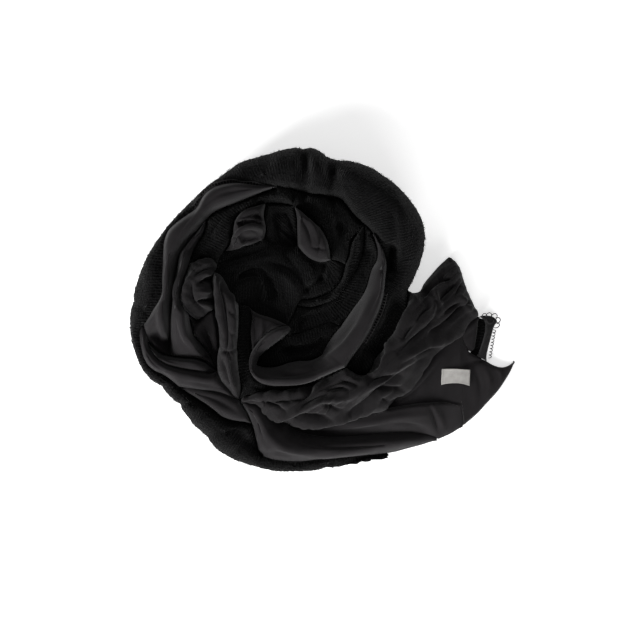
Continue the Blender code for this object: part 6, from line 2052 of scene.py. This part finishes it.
loops = Bundle("corner_loops", THREAD, "trim")
for foot, top, other in (
    ((484, 317, 9.5), (486.5, 313.5, 12), (489, 316.5, 10)),
    ((488, 316.5, 10), (491.5, 312.8, 12.5), (494, 316.5, 10)),
    ((493, 316.5, 10), (498, 313.8, 12.5), (498.5, 319, 10)),
    ((498, 318, 10), (502.5, 319.5, 12), (499, 324, 9.5)),
    ((499, 322.5, 9.5), (501.5, 326, 11), (496.5, 328, 9)),
    ((489, 320, 10), (492, 324, 12.5), (496, 320, 10)),
):
    loops.tube(arch_line(foot, top, other), 0.45, 8)
for place in range(9):
    y = 330 + place * 3.2
    x = 495.4 - 0.17 * (y - 330)
    loops.tube(arch_line((x, y, 9), (x + 2.6, y + 1.6, 9.5), (x - 0.3, y + 3.0, 9)), 0.42, 6)
loops.piece()

# %% [markdown]
# ## Loose loops of boucle
#
# Boucle yarn has small loops that stand out from the cloth. Along the nest's edge they make the
# outline a little fuzzy. Almost two thousand tiny arches of yarn are sown over the boucle, about
# half of them near the outer edge.

# %% Sow the yarn loops
random.seed(7)
yarn = Bundle("boucle_loops", BOUCLE, "boucle")
LOOP_REACH = (0.5, 1.3)
LOOP_RISE = (0.6, 1.5)
YARN_RADIUS = (0.12, 0.2)
YARN_SIDES = 5


def sow_loops(name, count, first_column, last_column):
    grid = GRIDS[name]
    normals = unit_normals(grid)
    last_row = grid.shape[0] - 3
    for _ in range(count):
        row = random.randint(2, last_row)
        column = int(random.uniform(first_column, last_column) * (grid.shape[1] - 3)) + 1
        spot = grid[row, column]
        up = normals[row, column]
        turn = random.uniform(0, math.pi)
        aside = np.array([math.cos(turn), math.sin(turn), 0.0])
        aside -= up * (aside @ up)
        reach = random.uniform(*LOOP_REACH)
        rise = random.uniform(*LOOP_RISE)
        line = arch_line(spot - aside * reach, spot + up * rise, spot + aside * reach)
        yarn.tube(line[::2], random.uniform(*YARN_RADIUS), YARN_SIDES)


sow_loops("boucle_outer_turn", 900, 0.0, 0.45)
sow_loops("boucle_outer_turn", 500, 0.45, 0.95)
for name in ("boucle_right_turn", "boucle_left_turn", "boucle_inner_turn", "boucle_centre",
             "boucle_low_turn"):
    sow_loops(name, 90, 0.1, 0.9)
yarn.piece()

# %% [markdown]
# ## Light, floor and camera
#
# The photograph was taken straight from above in soft light from all round, on a white surface
# that has almost no shadow. A broad, pale floor, an even, dim world and three large soft lamps
# come near to that. A long lens keeps the view flat.

# %% Floor
bpy.ops.mesh.primitive_plane_add(size=6, location=(0, 0, 0))
floor = bpy.context.active_object
floor.name = "floor"
# A little light of its own keeps the paper white up to the picture's edges.
paper = bpy.data.materials.new("white paper")
paper.use_nodes = True
paper_shader = paper.node_tree.nodes["Principled BSDF"]
paper_shader.inputs["Base Color"].default_value = (0.96, 0.96, 0.96, 1)
paper_shader.inputs["Roughness"].default_value = 0.9
paper_shader.inputs["Emission Color"].default_value = (1, 1, 1, 1)
paper_shader.inputs["Emission Strength"].default_value = 0.5
floor.data.materials.append(paper)

# %% World and lamps
world = bpy.data.worlds.new("soft room")
world.use_nodes = True
world.node_tree.nodes["Background"].inputs["Color"].default_value = (1, 1, 1, 1)
world.node_tree.nodes["Background"].inputs["Strength"].default_value = 0.3
bpy.context.scene.world = world
bpy.context.scene.view_settings.view_transform = "Standard"


def soft_lamp(name, place, target, size, power):
    light = bpy.data.lights.new(name, "AREA")
    light.shape = "SQUARE"
    light.size = size
    light.energy = power
    lamp = bpy.data.objects.new(name, light)
    lamp.location = place
    aim = Vector(target) - Vector(place)
    lamp.rotation_euler = aim.to_track_quat("-Z", "Y").to_euler()
    bpy.context.scene.collection.objects.link(lamp)


soft_lamp("low left lamp", (-1.3, -1.1, 1.05), (0, 0, 0.03), 0.8, 60)
soft_lamp("low right lamp", (0.5, -1.7, 0.9), (0, 0, 0.03), 1.0, 22)
soft_lamp("high back lamp", (0.6, 1.3, 1.6), (0, 0, 0.03), 1.2, 6)

# %% Camera
VIEW_MIDDLE = (310.0, 310.0)
VIEW_WIDTH = 0.620
VIEW_LEVEL = 0.040
CAMERA_HEIGHT = 2.5
lens = bpy.data.cameras.new("camera")
lens.sensor_width = 36.0
lens.lens = lens.sensor_width * (CAMERA_HEIGHT - VIEW_LEVEL) / VIEW_WIDTH
camera = bpy.data.objects.new("camera", lens)
middle = to_metres([[*VIEW_MIDDLE, 0.0]])[0]
camera.location = (middle[0], middle[1], CAMERA_HEIGHT)
bpy.context.scene.collection.objects.link(camera)
bpy.context.scene.camera = camera

# %% Sizes, and the end
print("cuts:", CUTS)
